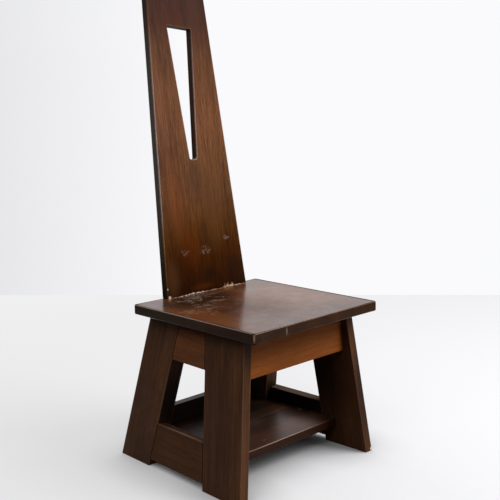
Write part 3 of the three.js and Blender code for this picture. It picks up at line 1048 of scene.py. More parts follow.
@dataclass(frozen=True)
class Board:
    """One planed board of the chair.

    Attributes:
        node: The node of the frame that it stands for.
        finish: Its finish.
        along: The direction of its grain.
        across: The direction of its width.
        log: Where in the log it was sawn, which sets its figure apart from its neighbours'.
        arris_mm: How far its sharp edges are rubbed round.
        arris_steps: The steps of that round.
        seams: Places where its edge is glued to the next board.
        seam_axis: The axis that those places are measured on, 0 for x and 1 for y.
        broad_share: How far a face must look along the board's thickness to count as a broad one.
        log_step: How far apart in the log two boards are sawn, in metres across, through and along.
    """

    node: str
    finish: Finish
    along: Place
    across: Place
    log: int
    arris_mm: float = 1.1
    arris_steps: int = 3
    seams: tuple[float, ...] = ()
    seam_axis: int = 0
    broad_share: float = 0.6
    log_step: Place = (0.37, 0.61, 1.93)

    def grain_turn(self) -> Matrix:
        """Works out how the board lies.

        Returns:
            The turn from the chair's frame to the board's width, thickness and length.
        """
        along = Vector(self.along).normalized()
        across = Vector(self.across)
        across = (across - along * across.dot(along)).normalized()
        return Matrix((across, along.cross(across), along))

    def outline(self) -> bpy.types.Mesh:
        """Copies the node's shape with merged points, closed glue seams and marked sharp edges.

        Returns:
            The mesh before its arrises are rounded.
        """
        work = bmesh.new()
        work.from_mesh(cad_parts[self.node].data)
        for face in work.faces:
            face.smooth = True
        for edge in work.edges:
            edge.smooth = True
        bmesh.ops.remove_doubles(work, verts=work.verts, dist=WELD)
        bmesh.ops.dissolve_limit(work, angle_limit=FLAT_ANGLE, verts=work.verts, edges=work.edges)
        for point in work.verts:
            for seam in self.seams:
                if abs(point.co[self.seam_axis] - seam) < SEAM_REACH_MM * MM:
                    point.co[self.seam_axis] = seam
        weights = work.edges.layers.float.new("bevel_weight_edge")
        for edge in work.edges:
            if len(edge.link_faces) != 2 or edge.calc_face_angle(0) < SHARP_ANGLE:
                continue
            ends = [point.co[self.seam_axis] for point in edge.verts]
            if any(abs(end - seam) < SEAM_REACH_MM * MM for seam in self.seams for end in ends):
                edge.smooth = False
            else:
                edge[weights] = 1.0
        mesh = bpy.data.meshes.new(f"{self.node}_outline")
        work.to_mesh(mesh)
        work.free()
        if "custom_normal" in mesh.attributes:
            mesh.attributes.remove(mesh.attributes["custom_normal"])
        return mesh

    def shape(self) -> bpy.types.Mesh:
        """Rounds the board's sharp edges and keeps its flats flat.

        Returns:
            The finished mesh.
        """
        mesh = self.outline()
        mesh.materials.clear()
        blank = link_object(f"{self.node}_blank", mesh)
        rounding = blank.modifiers.new("rubbed arrises", "BEVEL")
        rounding.limit_method = "WEIGHT"
        rounding.width = self.arris_mm * MM
        rounding.segments = self.arris_steps
        rounding.use_clamp_overlap = False
        flats = blank.modifiers.new("true flats", "WEIGHTED_NORMAL")
        flats.weight = 100
        flats.keep_sharp = True
        dressed = blank.evaluated_get(bpy.context.evaluated_depsgraph_get())
        finished = bpy.data.meshes.new_from_object(dressed)
        bpy.data.objects.remove(blank)
        return finished

    def write_grain(self, mesh: bpy.types.Mesh) -> None:
        """Stores where each point lies in the board, and which faces are its narrow ones.

        Args:
            mesh: The board's finished mesh.
        """
        turn = self.grain_turn()
        log_offset = Vector(self.log_step) * self.log
        values = []
        for point in mesh.vertices:
            values.extend(turn @ point.co + log_offset)
        grain = mesh.attributes.new("grain", "FLOAT_VECTOR", "POINT")
        grain.data.foreach_set("vector", values)
        sides = [abs((turn @ face.normal).y) < self.broad_share for face in mesh.polygons]
        narrow = mesh.attributes.new("narrow", "FLOAT", "FACE")
        narrow.data.foreach_set("value", [float(side) for side in sides])

    def build(self) -> None:
        """Makes the board and fastens it in its place."""
        mesh = self.shape()
        self.write_grain(mesh)
        mesh.materials.append(self.finish.material())
        settle(link_object(f"{self.node}_dressed", mesh), self.finish.slot, self.node)


@dataclass(frozen=True)
class Seat:
    """The seat of three boards glued edge to edge, their grain from front to rear."""

    names: tuple[str, ...] = ("seat_board_left", "seat_board_middle", "seat_board_right")
    arris_mm: float = 3.5
    first_log: int = 3

    def build(self) -> None:
        """Makes the three boards."""
        fore = (0.0, 1.0, 0.0)
        across = (1.0, 0.0, 0.0)
        seams = tuple(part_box(name)[1].x + SEAM_HALF_MM * MM for name in self.names[:-1])
        for log, name in enumerate(self.names, self.first_log):
            Board(name, SEAT_WOOD, fore, across, log, arris_mm=self.arris_mm, seams=seams).build()


@dataclass(frozen=True)
class BackPlank:
    """The raked plank with its tapering slot, the crust of old glue along its foot and its splinters.

    Attributes:
        rake: How far the plank leans back.
        log: Where in the log it was sawn.
        offset_mm: How far its foot's middle lies to the right of the chair's middle.
        foot_width_mm: The width of its foot.
        foot_y_mm: Where its front meets the seat.
        seat_top_mm: The height of the seat's top.
        bead_steps: The steps of the bead of glue along the foot.
        bead_sides: The points round its front.
        bead_inset_mm: How far it stops short of the plank's edges.
        bead_sink_mm: How far it reaches into both boards.
        bead_low_mm: Its least thickness.
        bead_high_mm: Its greatest thickness apart from the lumps.
        bead_rarity: How much rarer thick places are than thin ones.
        bead_follow: The share of a change of thickness that one step takes up.
        bead_bumps: How its thickness varies from point to point.
        lumps_mm: Its lumps: the middle, the reach to either side and the height of each.
        torn_mm: The torn places: middle, reach, count of slivers and the longest one's length.
        sliver_mm: The half width of a sliver's foot.
        sliver_sink_mm: How far its foot reaches into both boards.
        sliver_lengths: The lengths of slivers as shares of the longest.
        sliver_turns: Their directions as shares of a half turn from the right to the left.
        sliver_outs_mm: How far they stand from the plank.
        sliver_widths: Their widths as shares of the widest.
        sliver_lean_mm: How much further out the tip stands.
        sliver_keel_mm: How much further out the foot's front stands.
        sliver_rise: How much of its length a sliver keeps upwards.
        seed: The seed of the draws.
    """

    rake: float = math.radians(7.3)
    log: int = 9
    offset_mm: float = 19.0
    foot_width_mm: float = 294.5
    foot_y_mm: float = 151.5
    seat_top_mm: float = 430.0
    bead_steps: int = 150
    bead_sides: int = 7
    bead_inset_mm: float = 2.0
    bead_sink_mm: float = 0.6
    bead_low_mm: float = 0.15
    bead_high_mm: float = 3.0
    bead_rarity: float = 2.2
    bead_follow: float = 0.55
    bead_bumps: Span = (0.8, 1.2)
    lumps_mm: tuple[Place, ...] = (
        (-42, 34, 5.5), (-5, 16, 3.2), (94, 18, 3.2), (132, 10, 2.0), (-124, 8, 2.6),
    )
    torn_mm: tuple[tuple[float, float, int, float], ...] = (
        (94, 16, 34, 20.0), (-122, 6, 8, 9.0), (-40, 28, 16, 8.0),
    )
    sliver_mm: float = 1.3
    sliver_sink_mm: float = 0.4
    sliver_lengths: Span = (0.35, 1.0)
    sliver_turns: Span = (0.12, 0.88)
    sliver_outs_mm: Span = (-0.3, -1.5)
    sliver_widths: Span = (0.5, 1.0)
    sliver_lean_mm: float = 0.5
    sliver_keel_mm: float = 0.9
    sliver_rise: float = 0.8
    seed: int = 11

    def build(self) -> None:
        """Makes the plank, its crust and its splinters."""
        along = (0.0, math.sin(self.rake), math.cos(self.rake))
        Board("back_plank", PLANK_WOOD, along, (1.0, 0.0, 0.0), self.log).build()
        self.crust()
        self.splinters()

    def crust(self) -> None:
        """Lays a ragged bead of dried glue in the corner between the plank and the seat."""
        rng = random.Random(self.seed)
        half = self.foot_width_mm / 2 - self.bead_inset_mm
        sink = self.bead_sink_mm
        reach = self.bead_low_mm
        work = bmesh.new()
        rings = []
        for step in range(self.bead_steps + 1):
            across = self.offset_mm - half + 2 * half * step / self.bead_steps
            aim = self.bead_low_mm + (self.bead_high_mm - self.bead_low_mm) * rng.random() ** self.bead_rarity
            for middle, width, high in self.lumps_mm:
                aim += high * rng.random() * max(0.0, 1 - abs(across - middle) / width)
            reach += (aim - reach) * self.bead_follow
            size = reach if 0 < step < self.bead_steps else self.bead_low_mm
            ring = [work.verts.new(self.bead_point(across, sink, -sink))]
            for turn in range(self.bead_sides):
                angle = math.pi / 2 * turn / (self.bead_sides - 1)
                bump = size * rng.uniform(*self.bead_bumps)
                place = self.bead_point(across, -bump * math.cos(angle), bump * math.sin(angle))
                ring.append(work.verts.new(place))
            rings.append(ring)
        skin_rings(work, rings)
        dress_loose(work, "foot_crust", DriedGlue(), smooth=True)

    def splinters(self) -> None:
        """Sets torn slivers of bare wood along the plank's foot, each a thin three-sided wedge."""
        rng = random.Random(self.seed + 1)
        sink = self.sliver_sink_mm
        work = bmesh.new()
        for middle, spread, count, longest in self.torn_mm:
            for _ in range(count):
                root = rng.uniform(middle - spread, middle + spread)
                length = longest * rng.uniform(*self.sliver_lengths)
                turn = math.pi * rng.uniform(*self.sliver_turns)
                out = rng.uniform(*self.sliver_outs_mm)
                half = self.sliver_mm * rng.uniform(*self.sliver_widths)
                rise = length * math.sin(turn) * self.sliver_rise
                tip = (root + length * math.cos(turn), out - self.sliver_lean_mm, rise)
                keel = (root, out - self.sliver_keel_mm, -sink)
                foot = [(root - half, sink, -sink), (root + half, sink, -sink), keel]
                low = [work.verts.new(self.bead_point(*place)) for place in foot]
                top = work.verts.new(self.bead_point(*tip))
                work.faces.new(low[::-1])
                for number, corner in enumerate(low):
                    work.faces.new((corner, low[(number + 1) % len(low)], top))
        torn_wood = DriedGlue(name="torn_bare_wood", crust="#f0dcc0", dirt="#c0905e", speck_mm=3.0)
        dress_loose(work, "foot_splinters", torn_wood)

    def bead_point(self, across_mm: float, out_mm: float, up_mm: float) -> Vector:
        """Places a point of the bead by its distance from the corner line."""
        return Vector((across_mm, self.foot_y_mm + out_mm, self.seat_top_mm + up_mm)) * MM


@dataclass(frozen=True)
class SideFrame:
    """One splayed side frame: two legs and two rails, tenoned together.

    Attributes:
        side: The chair's side that it stands on.
        sign: The sign of x there.
        first_log: Where in the log its first board was sawn.
        splay_mm: How far its top leans inwards.
        height_mm: Its height.
        front_lean_mm: How far the front leg's foot stands in front of its top.
        rear_lean_mm: How far the rear leg's foot stands behind its top.
        joint_arris_mm: How far the rails' arrises are rubbed round.
        dirt_half_mm: Half the width of a strip of dirt in a joint.
        dirt_top_mm: How far below the rail's face the strip begins.
        dirt_bottom_mm: How deep it goes.
        dirt_inset_mm: How far it stops short of the rail's edges.
        dirt_level: Its specular level.
        outward_least: How far a face must look outwards to count as an outer one.
    """

    side: str
    sign: int
    first_log: int
    splay_mm: float = 52.5
    height_mm: float = 405.0
    front_lean_mm: float = 32.0
    rear_lean_mm: float = 90.0
    joint_arris_mm: float = 1.8
    dirt_half_mm: float = 1.4
    dirt_top_mm: float = 0.08
    dirt_bottom_mm: float = 1.1
    dirt_inset_mm: float = 1.5
    dirt_level: float = 0.02
    outward_least: float = 0.9

    def build(self) -> None:
        """Makes the frame's four boards and the dirt in their joints."""
        inward = -self.sign * self.splay_mm
        fore = (0.0, 1.0, 0.0)
        log = self.first_log
        arris = self.joint_arris_mm
        front = (inward, self.front_lean_mm, self.height_mm)
        rear = (inward, -self.rear_lean_mm, self.height_mm)
        climb = (inward, 0.0, self.height_mm)
        Board(f"{self.side}_front_leg", FRAME_WOOD, front, fore, log).build()
        Board(f"{self.side}_rear_leg", FRAME_WOOD, rear, fore, log + 1).build()
        Board(f"{self.side}_upper_rail", UPPER_RAIL_WOOD, fore, climb, log + 2, arris_mm=arris).build()
        Board(f"{self.side}_lower_rail", LOWER_RAIL_WOOD, fore, climb, log + 3, arris_mm=arris).build()
        self.dirt()

    def dirt(self) -> None:
        """Packs dark dirt and old wax into the grooves where the rails meet the legs."""
        work = bmesh.new()
        for rail in ("upper_rail", "lower_rail"):
            face, points = self.outer_face(f"{self.side}_{rail}")
            for low, high in (points[:2], points[2:]):
                rise = (high - low).normalized()
                aside = face.cross(rise).normalized() * self.dirt_half_mm * MM
                rings = []
                for end in (low + rise * self.dirt_inset_mm * MM, high - rise * self.dirt_inset_mm * MM):
                    places = [end + turn * aside - face * depth * MM for turn, depth in self.dirt_section()]
                    rings.append([work.verts.new(place) for place in places])
                skin_rings(work, rings)
        packed_dirt = DriedGlue(
            name="packed_joint_dirt", slot="frame_wood", crust="#120a06", dirt="#080402",
            level=self.dirt_level,
        )
        dress_loose(work, f"{self.side}_joint_dirt", packed_dirt)

    def dirt_section(self) -> tuple[tuple[float, float], ...]:
        """Gives the corners of a strip's section: the side that each lies on and its depth."""
        top, bottom = self.dirt_top_mm, self.dirt_bottom_mm
        return ((-1, top), (1, top), (1, bottom), (-1, bottom))

    def outer_face(self, rail: str) -> tuple[Vector, list[Vector]]:
        """Finds the outer face of a rail.

        Args:
            rail: The rail's node.

        Returns:
            The face's normal, and its corners: front low, front high, rear low, rear high.
        """
        shape = bmesh.new()
        shape.from_mesh(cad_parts[rail].data)
        bmesh.ops.remove_doubles(shape, verts=shape.verts, dist=WELD)
        bmesh.ops.dissolve_limit(shape, angle_limit=FLAT_ANGLE, verts=shape.verts, edges=shape.edges)
        outward = [face for face in shape.faces if face.normal.x * self.sign > self.outward_least]
        broad = max(outward, key=lambda face: face.calc_area())
        normal = broad.normal.copy()
        corners = sorted((point.co.copy() for point in broad.verts), key=lambda place: place.z)
        low = sorted(corners[:2], key=lambda place: place.y)
        high = sorted(corners[-2:], key=lambda place: place.y)
        shape.free()
        return normal, [low[0], high[0], low[1], high[1]]


@dataclass(frozen=True)
class CrossPieces:
    """The aprons and the rear lower rail, their grain across the chair."""

    first_log: int = 40

    def build(self) -> None:
        """Makes the three boards."""
        across = (1.0, 0.0, 0.0)
        climb = (0.0, 0.0, 1.0)
        Board("front_apron", APRON_WOOD, across, climb, self.first_log).build()
        Board("rear_apron", FRAME_WOOD, across, climb, self.first_log + 1).build()
        Board("rear_lower_rail", REAR_RAIL_WOOD, across, climb, self.first_log + 2).build()


@dataclass(frozen=True)
class Shelf:
    """The low shelf of two boards glued edge to edge, their grain across the chair."""

    names: tuple[str, ...] = ("shelf_board_front", "shelf_board_rear")
    first_log: int = 50

    def build(self) -> None:
        """Makes the two boards."""
        across = (1.0, 0.0, 0.0)
        fore = (0.0, 1.0, 0.0)
        seams = (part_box(self.names[0])[1].y + SEAM_HALF_MM * MM,)
        for log, name in enumerate(self.names, self.first_log):
            Board(name, SHELF_WOOD, across, fore, log, seams=seams, seam_axis=1).build()


@dataclass(frozen=True)
class HiddenWork:
    """Cleats and corner blocks of bare pine, out of sight under the seat and the shelf."""

    arris_mm: float = 0.5
    first_log: int = 60

    def build(self) -> None:
        """Gives each block and cleat its rounded shape and its finish."""
        fore = (0.0, 1.0, 0.0)
        across = (1.0, 0.0, 0.0)
        climb = (0.0, 0.0, 1.0)
        pine = SawnPine()
        pieces = [
            (f"{side}_{kind}", along)
            for side in ("left", "right")
            for kind, along in (
                ("seat_cleat", fore), ("shelf_cleat", fore),
                ("front_corner_block", climb), ("rear_corner_block", climb),
            )
        ]
        for log, (name, along) in enumerate(pieces, self.first_log):
            Board(name, pine, along, across, log, arris_mm=self.arris_mm).build()


@dataclass(frozen=True)
class Screws:
    """The countersunk slotted screws of the tongue and the cleats, made by one node tree.

    Attributes:
        head_mm: The head's radius.
        head_depth_mm: Its depth.
        shank_mm: The shank's radius over the thread.
        long_mm: The whole length.
        point_mm: The point's length.
        slot_width_mm: The width of the slot.
        slot_depth_mm: Its depth.
        pitch_mm: The thread's pitch.
        thread_mm: The height of the thread.
        threaded_share: The share of the shank that is threaded.
        blade_heads: The length of the cut that makes the slot, in radii of the head.
        head_corners: The points round a head.
        shank_corners: The points round a shank.
        coil_corners: The points of one turn of the thread.
        ridge_corners: The points round the thread's section.
        flat_mm: How deep a point of the model may lie and still belong to the head's flat.
        seed: The seed of the slots' directions.
        sets: The kinds of screws.
        count: The number of each kind.
    """

    head_mm: float = 4.2
    head_depth_mm: float = 3.0
    shank_mm: float = 2.0
    long_mm: float = 34.0
    point_mm: float = 4.0
    slot_width_mm: float = 1.0
    slot_depth_mm: float = 0.9
    pitch_mm: float = 1.8
    thread_mm: float = 0.28
    threaded_share: float = 0.6
    blade_heads: float = 3.0
    head_corners: int = 28
    shank_corners: int = 20
    coil_corners: int = 16
    ridge_corners: int = 4
    flat_mm: float = 0.05
    seed: int = 5
    sets: tuple[str, ...] = ("plank_screw", "seat_screw", "shelf_screw")
    count: int = 4

    def names(self) -> list[str]:
        """Lists the screws' nodes."""
        return [f"{kind}_{number}" for kind in self.sets for number in range(1, self.count + 1)]

    def line(self, node: str) -> tuple[Vector, Vector]:
        """Finds the middle of a screw's head and the direction of its point.

        Args:
            node: The screw's node.

        Returns:
            The middle of the head's flat and the unit direction into the wood.
        """
        points = np.array([tuple(point.co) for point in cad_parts[node].data.vertices])
        unique = np.unique(points.round(7), axis=0)
        middle = unique.mean(axis=0)
        axis = np.linalg.eigh(np.cov((unique - middle).T))[1][:, -1]
        heights = (unique - middle) @ axis
        wide = np.linalg.norm(unique - middle - np.outer(heights, axis), axis=1)
        if heights[wide.argmax()] > 0:
            axis = -axis
            heights = -heights
        head = unique[heights < heights.min() + self.flat_mm * MM].mean(axis=0)
        return Vector(head), Vector(axis)

    def sizes(self) -> dict[str, float]:
        """Works out the node tree's named inputs.

        Returns:
            Each input's length in metres, and the number of the thread's turns.
        """
        threaded = (self.long_mm - self.point_mm - self.head_depth_mm) * self.threaded_share
        return {
            "Head Radius": self.head_mm * MM,
            "Head Depth": self.head_depth_mm * MM,
            "Shank Radius": (self.shank_mm - self.thread_mm) * MM,
            "Length": self.long_mm * MM,
            "Point": self.point_mm * MM,
            "Slot Width": self.slot_width_mm * MM,
            "Slot Depth": self.slot_depth_mm * MM,
            "Thread Start": (self.long_mm - self.point_mm - threaded) * MM,
            "Thread Height": threaded * MM,
            "Thread Turns": threaded / self.pitch_mm,
            "Thread Radius": self.thread_mm * MM,
        }

    def tree(self, material: bpy.types.Material) -> Tree:
        """Builds the node tree that sets a screw on every point.

        Args:
            material: The screws' finish.

        Returns:
            The tree, with its sizes as named inputs.
        """
        tree = bpy.data.node_groups.new("slotted_screws", "GeometryNodeTree")
        tree.interface.new_socket("Geometry", in_out="INPUT", socket_type="NodeSocketGeometry")
        for name in self.sizes():
            tree.interface.new_socket(name, in_out="INPUT", socket_type="NodeSocketFloat")
        tree.interface.new_socket("Geometry", in_out="OUTPUT", socket_type="NodeSocketGeometry")
        entry = add_node(tree, "NodeGroupInput").outputs
        head = add_node(tree, "GeometryNodeMeshCone", {
            "Vertices": self.head_corners, "Radius Top": entry["Shank Radius"],
            "Radius Bottom": entry["Head Radius"], "Depth": entry["Head Depth"],
        })
        twice = add_node(tree, "ShaderNodeMath", {0: entry["Slot Depth"], 1: 2.0}, operation="MULTIPLY")
        wide = add_node(tree, "ShaderNodeMath", {
            0: entry["Head Radius"], 1: self.blade_heads,
        }, operation="MULTIPLY")
        slot_size = add_node(tree, "ShaderNodeCombineXYZ", {
            0: wide.outputs[0], 1: entry["Slot Width"], 2: twice.outputs[0],
        })
        blade = add_node(tree, "GeometryNodeMeshCube", {"Size": slot_size.outputs[0]})
        slotted = add_node(tree, "GeometryNodeMeshBoolean", {
            "Mesh 1": head.outputs["Mesh"], "Mesh 2": blade.outputs["Mesh"],
        }, operation="DIFFERENCE", solver="EXACT")
        body_end = add_node(tree, "ShaderNodeMath", {
            0: entry["Length"], 1: entry["Point"],
        }, operation="SUBTRACT")
        body_long = add_node(tree, "ShaderNodeMath", {
            0: body_end.outputs[0], 1: entry["Head Depth"],
        }, operation="SUBTRACT")
        body = add_node(tree, "GeometryNodeMeshCylinder", {
            "Vertices": self.shank_corners, "Radius": entry["Shank Radius"], "Depth": body_long.outputs[0],
        })
        ends = add_node(tree, "ShaderNodeMath", {
            0: body_end.outputs[0], 1: entry["Head Depth"],
        }, operation="ADD")
        body_middle = add_node(tree, "ShaderNodeMath", {0: ends.outputs[0], 1: 2.0}, operation="DIVIDE")
        point = add_node(tree, "GeometryNodeMeshCone", {
            "Vertices": self.shank_corners, "Radius Top": 0.0, "Radius Bottom": entry["Shank Radius"],
            "Depth": entry["Point"],
        })
        coil = add_node(tree, "GeometryNodeCurveSpiral", {
            "Resolution": self.coil_corners, "Rotations": entry["Thread Turns"],
            "Start Radius": entry["Shank Radius"], "End Radius": entry["Shank Radius"],
            "Height": entry["Thread Height"],
        })
        ridge = add_node(tree, "GeometryNodeCurvePrimitiveCircle", {
            "Resolution": self.ridge_corners, "Radius": entry["Thread Radius"],
        })
        thread = add_node(tree, "GeometryNodeCurveToMesh", {
            "Curve": coil.outputs[0], "Profile Curve": ridge.outputs["Curve"], "Fill Caps": True,
        })
        whole = add_node(tree, "GeometryNodeJoinGeometry")
        tree.links.new(slotted.outputs[0], whole.inputs[0])
        for part, height in (
            (body, body_middle.outputs[0]), (point, body_end.outputs[0]), (thread, entry["Thread Start"]),
        ):
            down = add_node(tree, "ShaderNodeCombineXYZ", {2: height})
            moved = add_node(tree, "GeometryNodeTransform", {
                "Geometry": part.outputs[0], "Translation": down.outputs[0],
            })
            tree.links.new(moved.outputs[0], whole.inputs[0])
        axis = add_node(tree, "GeometryNodeInputNamedAttribute", {"Name": "axis"}, data_type="FLOAT_VECTOR")
        aim = add_node(tree, "FunctionNodeAlignRotationToVector", {"Vector": axis.outputs[0]}, axis="Z")
        driven = add_node(tree, "FunctionNodeRandomValue", {
            "Min": 0.0, "Max": math.pi, "Seed": self.seed,
        }, data_type="FLOAT")
        slot_turn = add_node(tree, "ShaderNodeCombineXYZ", {2: driven.outputs[1]})
        placed = add_node(tree, "GeometryNodeInstanceOnPoints", {
            "Points": entry["Geometry"], "Instance": whole.outputs[0], "Rotation": aim.outputs[0],
        })
        turned = add_node(tree, "GeometryNodeRotateInstances", {
            "Instances": placed.outputs[0], "Rotation": slot_turn.outputs[0],
        })
        real = add_node(tree, "GeometryNodeRealizeInstances", {0: turned.outputs[0]})
        dressed = add_node(tree, "GeometryNodeSetMaterial", {
            "Geometry": real.outputs[0], "Material": material,
        })
        add_node(tree, "NodeGroupOutput", {0: dressed.outputs[0]})
        return tree

    def build(self) -> None:
        """Makes all the screws as one mesh."""
        finish = DulledSteel()
        sizes = self.sizes()
        lines = [self.line(name) for name in self.names()]
        seeds = bpy.data.meshes.new("screw_places")
        seeds.from_pydata([head for head, _ in lines], [], [])
        axis = seeds.attributes.new("axis", "FLOAT_VECTOR", "POINT")
        axis.data.foreach_set("vector", [value for _, way in lines for value in way])
        carrier = link_object("screw_places", seeds)
        tree = self.tree(finish.material())
        maker = carrier.modifiers.new("screws", "NODES")
        maker.node_group = tree
        for item in tree.interface.items_tree:
            if item.name in sizes:
                maker[item.identifier] = sizes[item.name]
        made = carrier.evaluated_get(bpy.context.evaluated_depsgraph_get())
        mesh = bpy.data.meshes.new_from_object(made)
        bpy.data.objects.remove(carrier)
        settle(link_object("slotted_screws", mesh), finish.slot, *self.names())


@dataclass(frozen=True)
class Lamp:
    """A large soft lamp.

    Attributes:
        name: Its name.
        at: Where it hangs.
        size: The side of its square.
        power: Its power in watts.
    """

    name: str
    at: Place
    size: float
    power: float

    def hang(self, aim: Place) -> None:
        """Hangs the lamp in its place.

        Args:
            aim: The point that it shines at.
        """
        data = bpy.data.lights.new(self.name, "AREA")
        data.size = self.size
        data.energy = self.power
        lamp = link_object(self.name, data)
        lamp.location = self.at
        lamp.rotation_mode = "QUATERNION"
        lamp.rotation_quaternion = (Vector(aim) - Vector(self.at)).to_track_quat("-Z", "Y")


@dataclass(frozen=True)
class Studio:
    """A pale floor that ends in front of a white wall, four large soft lamps and a dim room.

    Attributes:
        floor_half: Half the side of the floor.
        floor_turn: Its turn, which sets its far edge parallel to the wall.
        floor_left: Its colour on the left.
        floor_right: Its colour on the right.
        floor_span: Where along the wall's right the first turns into the second.
        floor_bounce: The colour that it throws back on the chair.
        nook: How near something must be to dim the floor's glow, which paints a contact shadow.
        nook_span: Where along the wall's right the shade's power changes.
        nook_powers: The painted shadow's power on the left and on the right.
        glow: The floor's own light on the left and on the right, for what is seen or mirrored.
        depth_span: Where away from the viewer that light changes.
        depth_glow: What is added to it near and far.
        wall_left: The wall's colour on the left.
        wall_right: Its colour on the right.
        wall_span: Where along the wall's right the first turns into the second.
        mirror_span: How far ahead a mirrored ray looks, from the dim room to the bright wall.
        room_span: How far up a ray looks, from the low light to the high one.
        room_lights: The room's light low down and high up.
        room_gloss: The room's light in what is mirrored.
        aim: The point that the lamps shine at.
        lamps: The lamps: main light, fill from the left, low fill and light from behind.
    """

    floor_half: float = 1.9763
    floor_turn: float = math.radians(-49.06)
    floor_left: str = "#5e5e60"
    floor_right: str = "#a2a2a4"
    floor_span: Span = (-0.9, 0.4)
    floor_bounce: str = "#1c1c1e"
    nook: float = 0.15
    nook_span: Span = (-0.2, 0.05)
    nook_powers: Span = (1.1, 2.2)
    glow: Span = (0.64, 0.365)
    depth_span: Span = (-0.6, 1.98)
    depth_glow: Span = (-0.03, 0.08)
    wall_left: str = "#e7e7e9"
    wall_right: str = "#fafafc"
    wall_span: Span = (-0.27, -0.06)
    mirror_span: Span = (0.15, 0.65)
    room_span: Span = (0.1, 0.75)
    room_lights: Span = (0.06, 0.55)
    room_gloss: float = 0.05
    aim: Place = (0.0, 0.0, 0.4)
    lamps: tuple[Lamp, ...] = (
        Lamp("soft_lamp", (1.6, -2.3, 2.9), 2.2, 172.0),
        Lamp("left_lamp", (-2.3, -1.3, 3.0), 2.2, 52.0),
        Lamp("low_lamp", (1.5, -2.7, 0.9), 1.4, 16.0),
        Lamp("rear_lamp", (-0.4, 2.8, 2.4), 2.4, 34.0),
    )

    def floor(self) -> None:
        """Makes the floor, square to the wall that the photograph shows."""
        half = self.floor_half
        turn = Matrix.Rotation(self.floor_turn, 3, "Z")
        square = ((-half, -half), (half, -half), (half, half), (-half, half))
        corners = [turn @ Vector((x, y, 0)) for x, y in square]
        mesh = bpy.data.meshes.new("studio_floor")
        mesh.from_pydata(corners, [], [(0, 1, 2, 3)])
        material, tree = new_material("studio_floor")
        place = add_node(tree, "ShaderNodeTexCoord")
        across = add_node(tree, "ShaderNodeVectorMath", {
            0: place.outputs["Object"], 1: WALL_RIGHT,
        }, operation="DOT_PRODUCT")
        share = add_node(tree, "ShaderNodeMapRange", {
            0: across.outputs["Value"], 1: self.floor_span[0], 2: self.floor_span[1],
        })
        colour = add_node(tree, "ShaderNodeMix", {
            0: share.outputs[0], 6: linear(self.floor_left), 7: linear(self.floor_right),
        }, data_type="RGBA")
        ray = add_node(tree, "ShaderNodeLightPath")
        shown = add_node(tree, "ShaderNodeMix", {
            0: ray.outputs["Is Diffuse Ray"], 6: colour.outputs[2], 7: linear(self.floor_bounce),
        }, data_type="RGBA")
        glow = add_node(tree, "ShaderNodeMapRange", {
            0: share.outputs[0], 3: self.glow[0], 4: self.glow[1],
        })
        mirrored = add_node(tree, "ShaderNodeMath", {
            0: ray.outputs["Is Glossy Ray"], 1: ray.outputs["Is Transmission Ray"],
        }, operation="MAXIMUM")
        seen = add_node(tree, "ShaderNodeMath", {
            0: ray.outputs["Is Camera Ray"], 1: mirrored.outputs[0],
        }, operation="MAXIMUM")
        # Painted contact shadow: near the chair, ambient occlusion dims the floor's glow, more sharply on the
        # right than on the left.
        nooks = add_node(tree, "ShaderNodeAmbientOcclusion", {"Distance": self.nook}, samples=16)
        depth = add_node(tree, "ShaderNodeMapRange", {
            0: across.outputs["Value"], 1: self.nook_span[0], 2: self.nook_span[1],
            3: self.nook_powers[0], 4: self.nook_powers[1],
        })
        open_share = add_node(tree, "ShaderNodeMath", {
            0: nooks.outputs["AO"], 1: depth.outputs[0],
        }, operation="POWER")
        away = add_node(tree, "ShaderNodeVectorMath", {
            0: place.outputs["Object"], 1: WALL_AHEAD,
        }, operation="DOT_PRODUCT")
        change = add_node(tree, "ShaderNodeMapRange", {
            0: away.outputs["Value"], 1: self.depth_span[0], 2: self.depth_span[1],
            3: self.depth_glow[0], 4: self.depth_glow[1],
        })
        ramp = add_node(tree, "ShaderNodeMath", {0: glow.outputs[0], 1: change.outputs[0]}, operation="ADD")
        bright = add_node(tree, "ShaderNodeMath", {
            0: ramp.outputs[0], 1: open_share.outputs[0],
        }, operation="MULTIPLY")
        lifted = add_node(tree, "ShaderNodeMath", {
            0: bright.outputs[0], 1: seen.outputs[0],
        }, operation="MULTIPLY")
        skin = add_node(tree, "ShaderNodeBsdfPrincipled", {
            "Base Color": shown.outputs[2], "Roughness": 0.75, "Specular IOR Level": 0.2,
            "Emission Color": linear("#ffffff"), "Emission Strength": lifted.outputs[0],
        })
        add_node(tree, "ShaderNodeOutputMaterial", {"Surface": skin.outputs[0]})
        mesh.materials.append(material)
        link_object("studio_floor", mesh)

